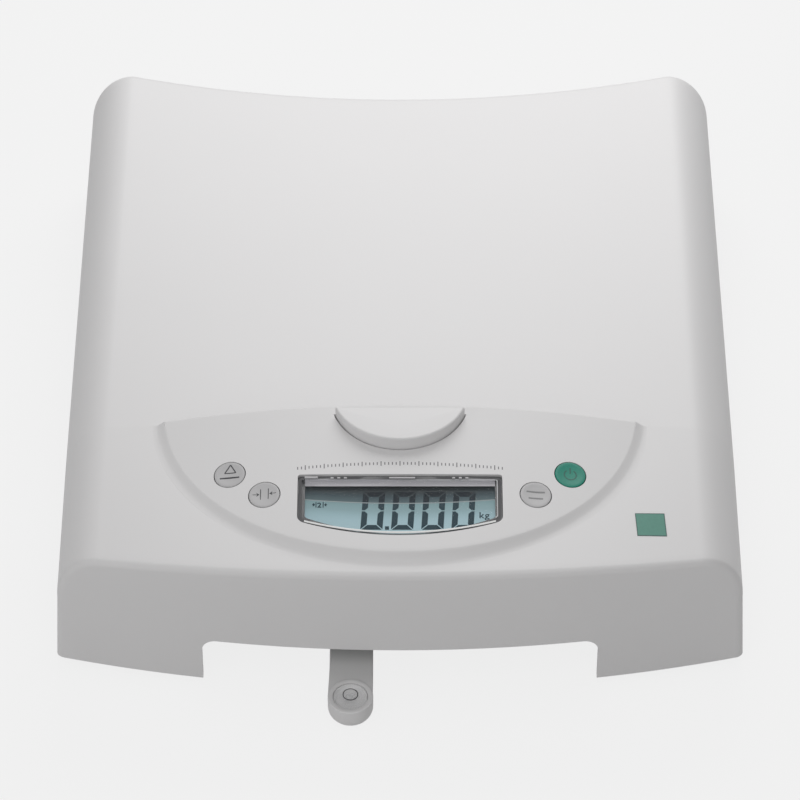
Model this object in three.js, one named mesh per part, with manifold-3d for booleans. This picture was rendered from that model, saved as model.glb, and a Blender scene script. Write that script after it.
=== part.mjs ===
// Digital baby weighing scale: a low moulded platform that carries its own display,
// standing over a base with a load cell, a battery bay, four screw feet and a spirit level.
// Millimetres, +Z up, front towards -Y. The floor is z = 0 at the foot pads.
import * as THREE from 'three';
import { mergeVertices } from 'three/addons/utils/BufferGeometryUtils.js';
import Module from 'manifold-3d';

const wasm = await Module();
wasm.setup();

// Shared clearances
const seatGap = 0.3;        // between pieces that rest on each other
const cutOverrun = 2;       // how far a cutting solid runs past what it cuts

// Facets round a full turn
const screwSides = 8;
const boltSides = 12;
const bossSides = 16;
const largeSides = 24;
const windowSegments = 8;   // along each curve of the display's outline
const buttonSegments = 10;  // along the release button's arc

// Top shell: plan
const shellDepth = 320;
const shellWidth = 290;     // across the side walls at the foot of the shoulder
const shellWall = 3;
const wallDraft = THREE.MathUtils.degToRad(3.4);
const frontBowRadius = 600;
const backBowRadius = 720;
const frontEdgeRadius = 3;
const backEdgeRadius = 4;
const levelReach = 22;      // spirit level's tip in front of the front wall

// Top shell: heights
const skirtLift = 6;
const creaseSetback = 88;   // from the front wall back to the crease
const shellRoom = 17.1;     // from the platform frame up to the shoulder at the crease
const frontFall = 4;        // the shoulder is this much lower at the front
const backRise = 0.2;
const frontArch = 5.9;
const creaseArch = 2.3;
const backDip = 5;
const shoulderWidth = 20;
const shoulderDrop = 28;
const archWidth = 168;      // opening between the front legs of the skirt
const archHeight = 24.4;
const archCornerRadius = 6.5;

// Raised control panel
const panelStep = 11.6;     // crest of its back edge above the crease
const panelSlope = 0.1065;
const panelCrown = 495;
const panelHalfWidth = 101;
const panelReach = 85;
const panelCentreBehind = 8; // centre of its elliptic outline behind the crease
const panelWallRun = 4;
const panelFootRun = 2.4;

// Display
const windowWidth = 86.2;
const windowTop = 37.3;      // from the crease forward
const windowSide = 60.6;
const windowMiddle = 68.8;
const windowTopCorner = 1.4;
const windowBottomCorner = 3;
const bezelWall = 1.4;
const bezelDepth = 3.6;
const bezelLip = 0.8;
const lensThickness = 1.4;
const lcdThickness = 2.2;
const lcdInset = 3;          // behind the edges of the window
const boardMargin = 7;       // board's edge beyond the key mats
const boardTop = 26;         // from the crease forward
const boardBottom = 76;
const boardThickness = 1.6;
const boardDepthBelow = 15;  // top of the board under the panel's crest
const boardPostDiameter = 8;
const boardPostEdge = 10;    // front posts from the board's ends and front edge
const backPostInset = 46;    // back posts from the board's ends
const backPostEdge = 5;      // and from its back edge
const boardScrewGrip = 4.5;

// Keys
const keyDiameter = 13.6;
const keyPlay = 0.4;
const keyProud = 1.1;
const keyEdge = 0.4;         // bevel round its top
const keyRim = 1.3;          // flat ring round its dish
const keyDish = 0.4;
const dishMiddleShare = 0.75;
const keyFlangeWidth = 1.7;
const keyFlangeThickness = 1.5;
const keyStemDiameter = 7;
const matThickness = 1;
const domeDiameter = 9;
const outerKeyX = 72;
const outerKeyY = 33.7;      // from the crease forward
const innerKeyX = 57.2;
const innerKeyY = 46.2;

// Release button
const buttonRadius = 29.2;
const buttonCentreY = 4.9;   // behind the crease
const buttonBack = 5;        // flat edge in front of the crease
const buttonProud = 3.6;     // above the panel's crest
const buttonEdge = 1.6;
const buttonPlay = 0.7;
const buttonTravel = 3;
const buttonFlange = 2.2;
const buttonFlangeThickness = 1.6;
const guideWall = 2;
const guideBore = 12;
const guideDepth = 20;
const guideFloor = 2;
const guideEarDiameter = 9.6;
const springDiameter = 9;
const springWire = 1;
const springTurns = 6;
const springSteps = 8;       // per turn
const buttonStemDiameter = 6;

// Base
const baseFloorLift = 9;
const baseFloor = 3;
const baseRimHeight = 13;
const baseRimWall = 2.6;
const baseWidth = 256;
const baseFront = 29;        // behind the front wall
const baseBack = 22;         // in front of the back corners
const baseCornerRadius = 16;

// Load cell
const cellLength = 130;
const cellWidth = 30;
const cellHeight = 22;
const cellBoreDiameter = 15;
const cellBoreSpacing = 34;
const cellWeb = 6;
const cellBoltSpacing = 15;
const cellEndMargin = 8;
const boltDiameter = 6;
const boltHead = 10;
const boltHeadHeight = 4;
const boltSocket = 3;
const boltSocketDepth = 2;
const boltGrip = 10;
const spacerLength = 34;
const spacerThickness = 4;
const cellBossHeight = 12;

// Platform frame
const frameWidth = 226;
const frameDepth = 206;
const frameSheet = 2.5;
const frameFlange = 9;
const frameCornerRadius = 12;
const frameWindowWidth = 56;
const frameWindowDepth = 50;
const frameWindowX = 56.5;
const frameWindowY = 59;
const framePostX = 100;
const framePostStep = 80;
const postDiameter = 12;
const screwDiameter = 3.6;
const screwHead = 7;
const screwHeadHeight = 2.4;
const screwHeadFlat = 4.9;
const screwGrip = 9;
const stopDiameter = 8;
const stopClearance = 0.8;
const stopBossHeight = 22;
const stopEngagement = 12;
const stopTip = 4;
const stopBevel = 0.3;

// Feet
const footX = 106;
const footFrontSetback = 50;  // behind the front wall
const footBackSetback = 46;   // in front of the back corners
const padDiameter = 26;
const padThickness = 3;
const padPocket = 1.2;
const padBevel = 0.6;
const spigotDiameter = 13;
const footDiscDiameter = 30;
const footDiscThickness = 4.2;
const footLobes = 12;
const footLobeDepth = 0.8;
const lobeSteps = 3;
const studDiameter = 8;
const studLength = 19;
const insertDiameter = 12;
const insertHeight = 12;
const footBossWall = 4;

// Spirit level
const levelX = -21.1;
const levelCupDiameter = 20.6;
const levelCupHeight = 11;
const levelCupLift = 6;
const levelArmWidth = 18;
const levelTongue = 26;
const vialDiameter = 15.6;
const vialHeight = 7;
const vialWall = 1.2;
const vialFloorThickness = 1.4;

// Batteries
const cellCount = 4;
const aaDiameter = 14.5;
const aaLength = 50.5;
const aaNubDiameter = 4.8;
const aaNubLength = 1.2;
const aaPitch = 16;
const bayWall = 2;
const bayHeight = 20;
const bayContactRoom = 4.5;
const bayCentreInset = 38.5;  // in front of the base's back edge
const contactThickness = 0.6;
const contactHeight = 12;
const doorThickness = 2.2;
const doorPlay = 0.6;
const doorLip = 2.5;          // door beyond the bay at either side
const doorPinDiameter = 1.2;
const doorPinReach = 1.2;     // into the base
const latchWidth = 14;
const latchThickness = 1.4;
const latchHeight = 6;
const nailWidth = 20;         // recess for a fingernail in front of the door
const nailDepth = 8;
const nailSink = 1.2;

// Places that follow from the sizes
const fullDepth = shellDepth + levelReach;
const frontY = levelReach - fullDepth / 2;
const backY = frontY + shellDepth;
const creaseY = frontY + creaseSetback;
const halfWidth = shellWidth / 2;
const crownHalf = halfWidth - shoulderWidth;
const baseY = { front: frontY + baseFront, back: backY - baseBack };
const floorTop = baseFloorLift + baseFloor;
const cellMiddleY = (frontY + backY) / 2;
const cellBossTop = floorTop + cellBossHeight;
const cellBottom = cellBossTop + seatGap + spacerThickness + seatGap;
const cellTop = cellBottom + cellHeight;
const frameBottom = cellTop + seatGap + spacerThickness + seatGap;
const frameTop = frameBottom + frameSheet;
const creaseSideHeight = frameTop + shellRoom;
const frontSideHeight = creaseSideHeight - frontFall;
const backSideHeight = creaseSideHeight + backRise;
const panelRise = creaseSideHeight + creaseArch + panelStep;
const buttonTop = panelRise + buttonProud;
const boardHalf = outerKeyX + domeDiameter + boardMargin;
const frontBoardPost = { x: boardHalf - boardPostEdge, forward: boardBottom - boardPostEdge };
const backBoardPost = { x: boardHalf - backPostInset, forward: boardTop + backPostEdge };

const white = { color: 0xe9e8e5, roughness: 0.42, metalness: 0 };
const grey = { color: 0xa3a1a6, roughness: 0.5, metalness: 0 };
const green = { color: 0x478275, roughness: 0.5, metalness: 0 };
const darkPlastic = { color: 0x5a5d60, roughness: 0.55, metalness: 0 };
const rubber = { color: 0x3c3e40, roughness: 0.85, metalness: 0 };
const aluminium = { color: 0xb9bcc0, roughness: 0.35, metalness: 1 };
const steel = { color: 0x9a9da1, roughness: 0.35, metalness: 1 };
const brass = { color: 0xb8964f, roughness: 0.35, metalness: 1 };
const clear = { color: 0xdfeaea, roughness: 0.08, metalness: 0, transparent: true, opacity: 0.35 };
const lcdGlass = { color: 0x96b4b9, roughness: 0.2, metalness: 0 };
const boardGreen = { color: 0x2f6b46, roughness: 0.6, metalness: 0 };

const scale = new THREE.Group();

function place(parent, name, geometry, finish) {
  const mesh = new THREE.Mesh(geometry, new THREE.MeshStandardMaterial(finish));
  mesh.name = name;
  parent.add(mesh);
  return mesh;
}

// Booleans on closed geometries
function toSolid(geometry) {
  const bare = geometry.index ? geometry.toNonIndexed() : geometry.clone();
  bare.deleteAttribute('normal');
  bare.deleteAttribute('uv');
  const merged = mergeVertices(bare, 1e-4);
  const corners = merged.index.array;
  const kept = [];
  for (let i = 0; i < corners.length; i += 3) {
    const [a, b, c] = [corners[i], corners[i + 1], corners[i + 2]];
    if (a !== b && b !== c && c !== a) kept.push(a, b, c);
  }
  return new wasm.Manifold(new wasm.Mesh({
    numProp: 3,
    vertProperties: new Float32Array(merged.attributes.position.array),
    triVerts: new Uint32Array(kept),
  }));
}

function toGeometry(solid) {
  const mesh = solid.getMesh();
  const geometry = new THREE.BufferGeometry();
  geometry.setAttribute('position', new THREE.BufferAttribute(new Float32Array(mesh.vertProperties), 3));
  geometry.setIndex(new THREE.BufferAttribute(new Uint32Array(mesh.triVerts), 1));
  return geometry;
}

function build(first, joined = [], cut = []) {
  let solid = toSolid(first);
  for (const piece of joined) solid = solid.add(toSolid(piece));
  for (const piece of cut) solid = solid.subtract(toSolid(piece));
  return toGeometry(solid);
}

// Basic forms
function box(x0, x1, y0, y1, z0, z1) {
  const geometry = new THREE.BoxGeometry(x1 - x0, y1 - y0, z1 - z0);
  return geometry.translate((x0 + x1) / 2, (y0 + y1) / 2, (z0 + z1) / 2);
}

function upright(diameter, z0, z1, x = 0, y = 0, sides = bossSides) {
  const geometry = new THREE.CylinderGeometry(diameter / 2, diameter / 2, z1 - z0, sides);
  return geometry.rotateX(Math.PI / 2).translate(x, y, (z0 + z1) / 2);
}

function turned(profile, x = 0, y = 0, sides = bossSides) {
  const points = profile.map(([r, z]) => new THREE.Vector2(r, z));
  return new THREE.LatheGeometry(points, sides).rotateX(Math.PI / 2).translate(x, y, 0);
}

function extruded(shape, z0, z1, curveSegments = 3) {
  const options = { depth: z1 - z0, bevelEnabled: false, curveSegments };
  return new THREE.ExtrudeGeometry(shape, options).translate(0, 0, z0);
}

function roundedRectangle(x0, x1, y0, y1, radius) {
  const shape = new THREE.Shape();
  shape.moveTo(x0 + radius, y0);
  shape.lineTo(x1 - radius, y0);
  shape.absarc(x1 - radius, y0 + radius, radius, -Math.PI / 2, 0, false);
  shape.lineTo(x1, y1 - radius);
  shape.absarc(x1 - radius, y1 - radius, radius, 0, Math.PI / 2, false);
  shape.lineTo(x0 + radius, y1);
  shape.absarc(x0 + radius, y1 - radius, radius, Math.PI / 2, Math.PI, false);
  shape.lineTo(x0, y0 + radius);
  shape.absarc(x0 + radius, y0 + radius, radius, Math.PI, 1.5 * Math.PI, false);
  return shape;
}

// A closed skin through a row of closed rings with as many points each
function loft(rings, capFirst, capLast) {
  const triangles = [];
  const count = rings[0].length;
  for (let k = 0; k + 1 < rings.length; k += 1) {
    for (let j = 0; j < count; j += 1) {
      const next = (j + 1) % count;
      triangles.push(rings[k][j], rings[k + 1][next], rings[k + 1][j]);
      triangles.push(rings[k][j], rings[k][next], rings[k + 1][next]);
    }
  }
  triangles.push(...capFirst(rings[0]).reverse());
  triangles.push(...capLast(rings[rings.length - 1]));
  return new THREE.BufferGeometry().setFromPoints(triangles);
}

// Top shell: cross-sections from the front wall to the back, each a closed ring
function crossSection(sideHeight, arch, inset, bottom) {
  const topSteps = 6;
  const shoulderSteps = 4;
  const half = [];
  for (let i = 0; i <= topSteps; i += 1) {
    const x = crownHalf * i / topSteps;
    half.push([x, sideHeight + arch * (1 - (x / crownHalf) ** 2) - inset]);
  }
  for (let i = 1; i <= shoulderSteps; i += 1) {
    const turn = (Math.PI / 2) * i / shoulderSteps;
    const x = crownHalf + (shoulderWidth - inset) * Math.sin(turn);
    half.push([x, sideHeight - shoulderDrop + (shoulderDrop - inset) * Math.cos(turn)]);
  }
  const drop = sideHeight - shoulderDrop - bottom;
  half.push([halfWidth - inset + drop * Math.tan(wallDraft), bottom]);
  const left = half.slice(1).reverse().map(([x, z]) => [-x, z]);
  const top = [...left, ...half];
  const floor = top.slice(1, -1).reverse().map(([x]) => [x, bottom]);
  return [...top, ...floor];
}

function frontBow(x) {
  return x * x / (2 * frontBowRadius);
}

function backBow(x) {
  const reach = Math.min(Math.abs(x), crownHalf);
  return (reach * reach - crownHalf * crownHalf) / (2 * backBowRadius);
}

function shellLevels(y) {
  if (y < creaseY) {
    const share = (y - frontY) / (creaseY - frontY);
    const side = THREE.MathUtils.lerp(frontSideHeight, creaseSideHeight, share);
    return [side, THREE.MathUtils.lerp(frontArch, creaseArch, share)];
  }
  const share = (y - creaseY) / (backY - creaseY);
  const side = THREE.MathUtils.lerp(creaseSideHeight, backSideHeight, share);
  return [side, THREE.MathUtils.lerp(creaseArch, -backDip, share)];
}

const frontStationShares = [0, 0.35, 0.7];
const backStationShares = [0, 0.25, 0.5, 0.75, 1];

function shellBlock(inset, bottom, edgeSteps) {
  const stations = [];
  const front = frontY + inset;
  const back = backY - inset;
  for (let i = 0; i < edgeSteps; i += 1) {
    const turn = (Math.PI / 2) * i / edgeSteps;
    const away = 1 - Math.sin(turn);
    stations.push([front + frontEdgeRadius * (1 - Math.cos(turn)), inset + frontEdgeRadius * away]);
  }
  const frontEnd = edgeSteps ? front + frontEdgeRadius : front;
  for (const share of frontStationShares) {
    stations.push([THREE.MathUtils.lerp(frontEnd, creaseY, share), inset]);
  }
  const backStart = edgeSteps ? back - backEdgeRadius : back;
  for (const share of backStationShares) {
    stations.push([THREE.MathUtils.lerp(creaseY, backStart, share), inset]);
  }
  for (let i = 1; i <= edgeSteps; i += 1) {
    const turn = (Math.PI / 2) * i / edgeSteps;
    const away = 1 - Math.cos(turn);
    stations.push([backStart + backEdgeRadius * Math.sin(turn), inset + backEdgeRadius * away]);
  }
  const rings = stations.map(([y, depth]) => {
    const [side, arch] = shellLevels(y);
    const frontShare = Math.max(0, (creaseY - y) / (creaseY - frontY));
    const backShare = Math.max(0, (y - creaseY) / (backY - creaseY));
    return crossSection(side, arch, depth, bottom).map(([x, z]) => {
      return new THREE.Vector3(x, y + frontShare * frontBow(x) + backShare * backBow(x), z);
    });
  });
  // The ends are upright strips, so that they keep the bow of the wall
  const cap = (ring) => {
    const topCount = (ring.length + 2) / 2;
    const strips = [];
    for (let j = 0; j + 1 < topCount; j += 1) {
      const low = (i) => (i === 0 ? ring[0] : i === topCount - 1 ? ring[i] : ring[ring.length - i]);
      strips.push(ring[j], ring[j + 1], low(j + 1), ring[j], low(j + 1), low(j));
    }
    return strips;
  };
  return loft(rings, cap, cap);
}

function shellTop(x, y) {
  const [side, arch] = shellLevels(y);
  return side + arch * (1 - Math.min(1, (x / crownHalf) ** 2));
}

function panelTop(x, y) {
  return panelRise - panelSlope * (creaseY - y) - x * x / (2 * panelCrown);
}

// The raised panel: a crowned top that ends at the crease, with a sloping wall on an elliptic
// outline. The shares are how far the wall has run out and how far it has fallen.
const panelSteps = 32;
const panelWallShares = [[0, 0], [0.5, 0.495], [0.85, 0.765], [1, 0.9]];

function panelBlock(inset, bottom) {
  const centreY = creaseY + panelCentreBehind;
  const outline = (grow, turnShare) => {
    const [a, b] = [panelHalfWidth + grow - inset, panelReach + grow - inset];
    const start = Math.asin((panelCentreBehind + inset) / b);
    const turn = THREE.MathUtils.lerp(start, Math.PI - start, turnShare);
    return [-a * Math.cos(turn), centreY - b * Math.sin(turn)];
  };
  const rings = [];
  for (let k = 0; k <= panelSteps; k += 1) {
    const [topX, topY] = outline(0, k / panelSteps);
    const [wallX, wallY] = outline(panelWallRun, k / panelSteps);
    const [endX, endY] = outline(panelWallRun + panelFootRun, k / panelSteps);
    const high = panelTop(topX, topY) - inset;
    const low = shellTop(wallX, wallY) - inset;
    const backLine = creaseY - inset;
    const ring = [
      new THREE.Vector3(topX, backLine, bottom),
      new THREE.Vector3(topX, backLine, panelTop(topX, backLine) - inset),
    ];
    for (const [run, fall] of panelWallShares) {
      const x = THREE.MathUtils.lerp(topX, wallX, run);
      const y = THREE.MathUtils.lerp(topY, wallY, run);
      ring.push(new THREE.Vector3(x, Math.min(y, backLine), THREE.MathUtils.lerp(high, low, fall)));
    }
    ring.push(new THREE.Vector3(endX, Math.min(endY, backLine), shellTop(endX, endY) - inset - seatGap));
    ring.push(new THREE.Vector3(endX, Math.min(endY, backLine), bottom));
    rings.push(ring);
  }
  const fan = (ring) => {
    const sides = [];
    for (let j = 1; j + 1 < ring.length; j += 1) sides.push(ring[0], ring[j], ring[j + 1]);
    return sides;
  };
  return loft(rings, fan, fan);
}

// Frames that follow the panel: its tilted plane, and the crowned surface at a key
const panelTilt = Math.atan(panelSlope);
const panelFrame = new THREE.Matrix4().makeRotationX(panelTilt);
panelFrame.setPosition(0, creaseY, panelRise);
const inPanel = (geometry) => geometry.applyMatrix4(panelFrame);

function keyFrame(x, forward) {
  const frame = new THREE.Matrix4().makeRotationY(x / panelCrown);
  frame.setPosition(x, -forward, -x * x / (2 * panelCrown));
  return new THREE.Matrix4().multiplyMatrices(panelFrame, frame);
}

const keyPlaces = [
  { name: 'left_outer_key', x: -outerKeyX, forward: outerKeyY, finish: grey },
  { name: 'left_inner_key', x: -innerKeyX, forward: innerKeyY, finish: grey },
  { name: 'right_inner_key', x: innerKeyX, forward: innerKeyY, finish: grey },
  { name: 'right_outer_key', x: outerKeyX, forward: outerKeyY, finish: green },
];

// The display's outline: straight top and sides, bottom edge curved like the panel
function windowShape(grow) {
  const [w, top] = [windowWidth / 2 + grow, -windowTop + grow];
  const [side, middle] = [-windowSide - grow, -windowMiddle - grow];
  const [high, low] = [windowTopCorner, windowBottomCorner];
  const bend = side - (side - middle) * 2 * low / w;
  const shape = new THREE.Shape();
  shape.moveTo(-w + high, top);
  shape.quadraticCurveTo(-w, top, -w, top - high);
  shape.lineTo(-w, side + low);
  shape.quadraticCurveTo(-w, side, -w + low, bend);
  shape.quadraticCurveTo(0, 2 * middle - side, w - low, bend);
  shape.quadraticCurveTo(w, side, w, side + low);
  shape.lineTo(w, top - high);
  shape.quadraticCurveTo(w, top, w - high, top);
  return shape;
}

// The release button's outline: a circle's segment with a flat back edge
function buttonShape(grow, backGrow = grow) {
  const radius = buttonRadius + grow;
  const flat = -(buttonCentreY + buttonBack) + backGrow;
  const start = Math.asin(-flat / radius);
  const shape = new THREE.Shape();
  shape.absarc(0, 0, radius, Math.PI + start, 2 * Math.PI - start, false);
  shape.closePath();
  return shape;
}
const buttonMiddleY = creaseY + buttonCentreY;
const buttonSpringY = creaseY - buttonBack - (buttonRadius - buttonCentreY - buttonBack) / 2;
const panelInsideFront = panelTop(0, buttonMiddleY - buttonRadius - buttonFlange) - shellWall;
const flangeTop = panelInsideFront - seatGap;
const flangeBottom = flangeTop - buttonFlangeThickness;
const guideTop = panelInsideFront - seatGap;
const guideBottom = guideTop - guideDepth;

const postPlaces = [];
for (const side of [-1, 1]) {
  for (const step of [-1, 1]) postPlaces.push([side * framePostX, cellMiddleY + step * framePostStep]);
}
const boardPosts = [];
for (const post of [frontBoardPost, backBoardPost]) {
  for (const side of [-1, 1]) boardPosts.push([side * post.x, -post.forward]);
}
const boardUnder = -boardDepthBelow - boardThickness;
const screwHole = screwDiameter + 2 * seatGap;
const boltHole = boltDiameter + 2 * seatGap;

function topShell() {
  const outer = toSolid(shellBlock(0, skirtLift, 3)).add(toSolid(panelBlock(0, frameTop)));
  const hollow = toSolid(shellBlock(shellWall, skirtLift - cutOverrun, 0));
  const panelHollow = toSolid(panelBlock(shellWall, frameTop - cutOverrun));
  let shell = outer.subtract(hollow).subtract(panelHollow);
  const posts = postPlaces.map(([x, y]) => {
    return upright(postDiameter, frameTop + seatGap, shellTop(x, y) - shellWall / 2, x, y, boltSides);
  });
  for (const [x, y] of boardPosts) {
    const roof = y === -frontBoardPost.forward ? shellTop(x, creaseY + y) : panelTop(x, creaseY + y);
    const rise = roof - shellWall / 2 - panelRise - panelSlope * y;
    posts.push(inPanel(upright(boardPostDiameter, seatGap - boardDepthBelow, rise, x, y, screwSides)));
  }
  for (const post of posts) shell = shell.add(toSolid(post));
  const cuts = postPlaces.map(([x, y]) => {
    return upright(screwHole, frameTop - cutOverrun, frameTop + screwGrip, x, y, screwSides);
  });
  for (const [x, y] of boardPosts) {
    const reach = seatGap - boardDepthBelow + boardScrewGrip;
    cuts.push(inPanel(upright(screwHole, -boardDepthBelow - cutOverrun, reach, x, y, screwSides)));
  }
  const arch = roundedRectangle(-archWidth / 2, archWidth / 2, -archHeight, archHeight, archCornerRadius);
  const archCut = extruded(arch, 0, fullDepth).rotateX(Math.PI / 2);
  cuts.push(archCut.translate(0, fullDepth / 2, skirtLift));
  cuts.push(inPanel(extruded(windowShape(0), -bezelDepth - cutOverrun, cutOverrun, windowSegments)));
  const buttonHole = extruded(buttonShape(buttonPlay), guideTop, buttonTop + cutOverrun, buttonSegments);
  cuts.push(buttonHole.translate(0, buttonMiddleY, 0));
  for (const key of keyPlaces) {
    const hole = upright(keyDiameter + 2 * keyPlay, -shellWall - cutOverrun, cutOverrun, 0, 0, bossSides);
    cuts.push(hole.applyMatrix4(keyFrame(key.x, key.forward)));
  }
  for (const cut of cuts) shell = shell.subtract(toSolid(cut));
  return toGeometry(shell);
}
place(scale, 'top_shell', topShell(), white);

// Display: bezel, lens, liquid-crystal glass and its light block over the board
const bezelBottom = -bezelDepth;
function windowPrism(grow, z0, z1) {
  return inPanel(extruded(windowShape(grow), z0, z1, windowSegments));
}

// The bezel's rim ends flush with the crowned panel, a thin gap inside the window's edge
function displayBezel() {
  const outside = toSolid(windowPrism(-seatGap, bezelBottom - bezelLip, cutOverrun));
  const rimmed = outside.intersect(toSolid(panelBlock(0, frameTop)));
  const recess = toSolid(windowPrism(-seatGap - bezelWall, bezelBottom, 2 * cutOverrun));
  const opening = windowPrism(-seatGap - 2 * bezelWall, bezelBottom - bezelLip - cutOverrun, cutOverrun);
  return toGeometry(rimmed.subtract(recess).subtract(toSolid(opening)));
}
place(scale, 'display_bezel', displayBezel(), white);
const lensBottom = bezelBottom + seatGap;
place(scale, 'display_lens',
  windowPrism(-2 * seatGap - bezelWall, lensBottom, lensBottom + lensThickness), clear);
const lcdTop = bezelBottom - bezelLip - seatGap;
const lcdHalf = windowWidth / 2 - lcdInset;
place(scale, 'lcd_glass', inPanel(box(-lcdHalf, lcdHalf, lcdInset - windowMiddle, -windowTop - lcdInset,
  lcdTop - lcdThickness, lcdTop)), lcdGlass);
place(scale, 'lcd_light_block', inPanel(box(-lcdHalf, lcdHalf, lcdInset - windowMiddle, -windowTop - lcdInset,
  -boardDepthBelow + seatGap, lcdTop - lcdThickness - seatGap)), white);

// Main board, its rubber key mat and its screws
function mainBoard() {
  const plate = box(-boardHalf, boardHalf, -boardBottom, -boardTop, boardUnder, -boardDepthBelow);
  const holes = boardPosts.map(([x, y]) => {
    return upright(screwHole, boardUnder - cutOverrun, cutOverrun - boardDepthBelow, x, y, screwSides);
  });
  return inPanel(build(plate, [], holes));
}
place(scale, 'main_board', mainBoard(), boardGreen);

function keyMat(side) {
  const low = -boardDepthBelow + seatGap;
  const edges = [innerKeyX - domeDiameter, outerKeyX + domeDiameter].map((x) => side * x);
  edges.sort((a, b) => a - b);
  const sheet = inPanel(box(edges[0], edges[1], -innerKeyY - domeDiameter, -outerKeyY + domeDiameter / 2,
    low, low + matThickness));
  const domes = keyPlaces.filter((key) => key.x * side > 0).map((key) => {
    const drop = key.x * key.x / (2 * panelCrown);
    const high = -shellWall - keyFlangeThickness - 2 * seatGap;
    const foot = low + drop + matThickness / 2;
    const dome = new THREE.CylinderGeometry(keyStemDiameter / 2, domeDiameter / 2, high - foot, boltSides);
    dome.rotateX(Math.PI / 2).translate(0, 0, (high + foot) / 2);
    return dome.applyMatrix4(keyFrame(key.x, key.forward));
  });
  return build(sheet, domes);
}
place(scale, 'left_key_mat', keyMat(-1), rubber);
place(scale, 'right_key_mat', keyMat(1), rubber);

function panHeadScrew(headTop, length, x, y) {
  const [head, body] = [screwHead / 2, screwDiameter / 2];
  const headLow = headTop - screwHeadHeight;
  return turned([
    [0, headLow], [screwHeadFlat / 2, headLow], [head, headTop - screwHeadHeight / 2],
    [head, headTop], [body, headTop], [body, headTop + length], [0, headTop + length],
  ], x, y, screwSides);
}
boardPosts.forEach(([x, y], index) => {
  const screw = panHeadScrew(boardUnder - seatGap, boardThickness + boardScrewGrip, x, y);
  place(scale, `board_screw_${index + 1}`, inPanel(screw), steel);
});

// Keys: dished caps held by a flange under the shell
for (const key of keyPlaces) {
  const under = -shellWall - seatGap;
  const radius = keyDiameter / 2;
  const dishRadius = radius - keyRim;
  const cap = turned([
    [0, under - keyFlangeThickness], [radius + keyFlangeWidth, under - keyFlangeThickness],
    [radius + keyFlangeWidth, under], [radius, under], [radius, keyProud - keyEdge],
    [radius - keyEdge, keyProud], [dishRadius, keyProud],
    [dishRadius / 2, keyProud - keyDish * dishMiddleShare], [0, keyProud - keyDish],
  ], 0, 0, bossSides);
  place(scale, key.name, cap.applyMatrix4(keyFrame(key.x, key.forward)), key.finish);
}

// Release button, its spring and the guide that holds both under the shell
function releaseButton() {
  const crown = extruded(buttonShape(0), flangeBottom, buttonTop - buttonEdge, buttonSegments);
  const rim = new THREE.ExtrudeGeometry(buttonShape(-buttonEdge), {
    depth: buttonEdge, bevelEnabled: true, bevelSize: buttonEdge, bevelThickness: buttonEdge,
    bevelSegments: 2, curveSegments: buttonSegments,
  }).translate(0, 0, buttonTop - 2 * buttonEdge);
  const flange = extruded(buttonShape(buttonFlange, buttonPlay), flangeBottom, flangeTop, buttonSegments);
  const middle = buttonSpringY - buttonMiddleY;
  const stemFoot = guideBottom + guideFloor + buttonTravel + seatGap;
  const stem = upright(buttonStemDiameter, stemFoot, flangeTop, 0, middle, boltSides);
  return build(crown, [rim, flange, stem]).translate(0, buttonMiddleY, 0);
}
place(scale, 'release_button', releaseButton(), white);

function buttonGuide() {
  const outside = guideBore + 2 * guideWall;
  const earX = buttonRadius + buttonFlange + guideWall;
  const earHalf = guideEarDiameter / 2;
  const top = flangeBottom - buttonTravel - seatGap - springWire;
  const tube = upright(outside, guideBottom, top, 0, buttonSpringY, bossSides);
  const strap = box(-earX - earHalf, earX + earHalf, buttonSpringY - earHalf, buttonSpringY + earHalf,
    guideBottom, guideBottom + guideFloor);
  const ears = [-1, 1].map((side) => {
    const high = panelTop(earX + earHalf, buttonSpringY - earHalf) - shellWall - seatGap;
    return upright(guideEarDiameter, guideBottom, high, side * earX, buttonSpringY, screwSides);
  });
  const bore = upright(guideBore, guideBottom + guideFloor, top + cutOverrun, 0, buttonSpringY, bossSides);
  return build(tube, [strap, ...ears], [bore]);
}
place(scale, 'button_guide', buttonGuide(), white);

class SpringLine extends THREE.Curve {
  constructor(radius, low, high, turns) {
    super();
    Object.assign(this, { radius, low, high, turns });
  }

  getPoint(share, target = new THREE.Vector3()) {
    const turn = share * this.turns * 2 * Math.PI;
    const z = THREE.MathUtils.lerp(this.low, this.high, share);
    return target.set(this.radius * Math.cos(turn), this.radius * Math.sin(turn), z);
  }
}

function releaseSpring() {
  const low = guideBottom + guideFloor + seatGap + springWire / 2;
  const high = flangeBottom - seatGap - springWire / 2;
  const line = new SpringLine((springDiameter - springWire) / 2, low, high, springTurns);
  const wire = new THREE.Shape();
  wire.absarc(0, 0, springWire / 2, 0, 2 * Math.PI, false);
  const coil = new THREE.ExtrudeGeometry(wire, {
    steps: springTurns * springSteps, extrudePath: line, bevelEnabled: false, curveSegments: 3,
  });
  return coil.translate(0, buttonSpringY, 0);
}
place(scale, 'release_spring', releaseSpring(), steel);

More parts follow.
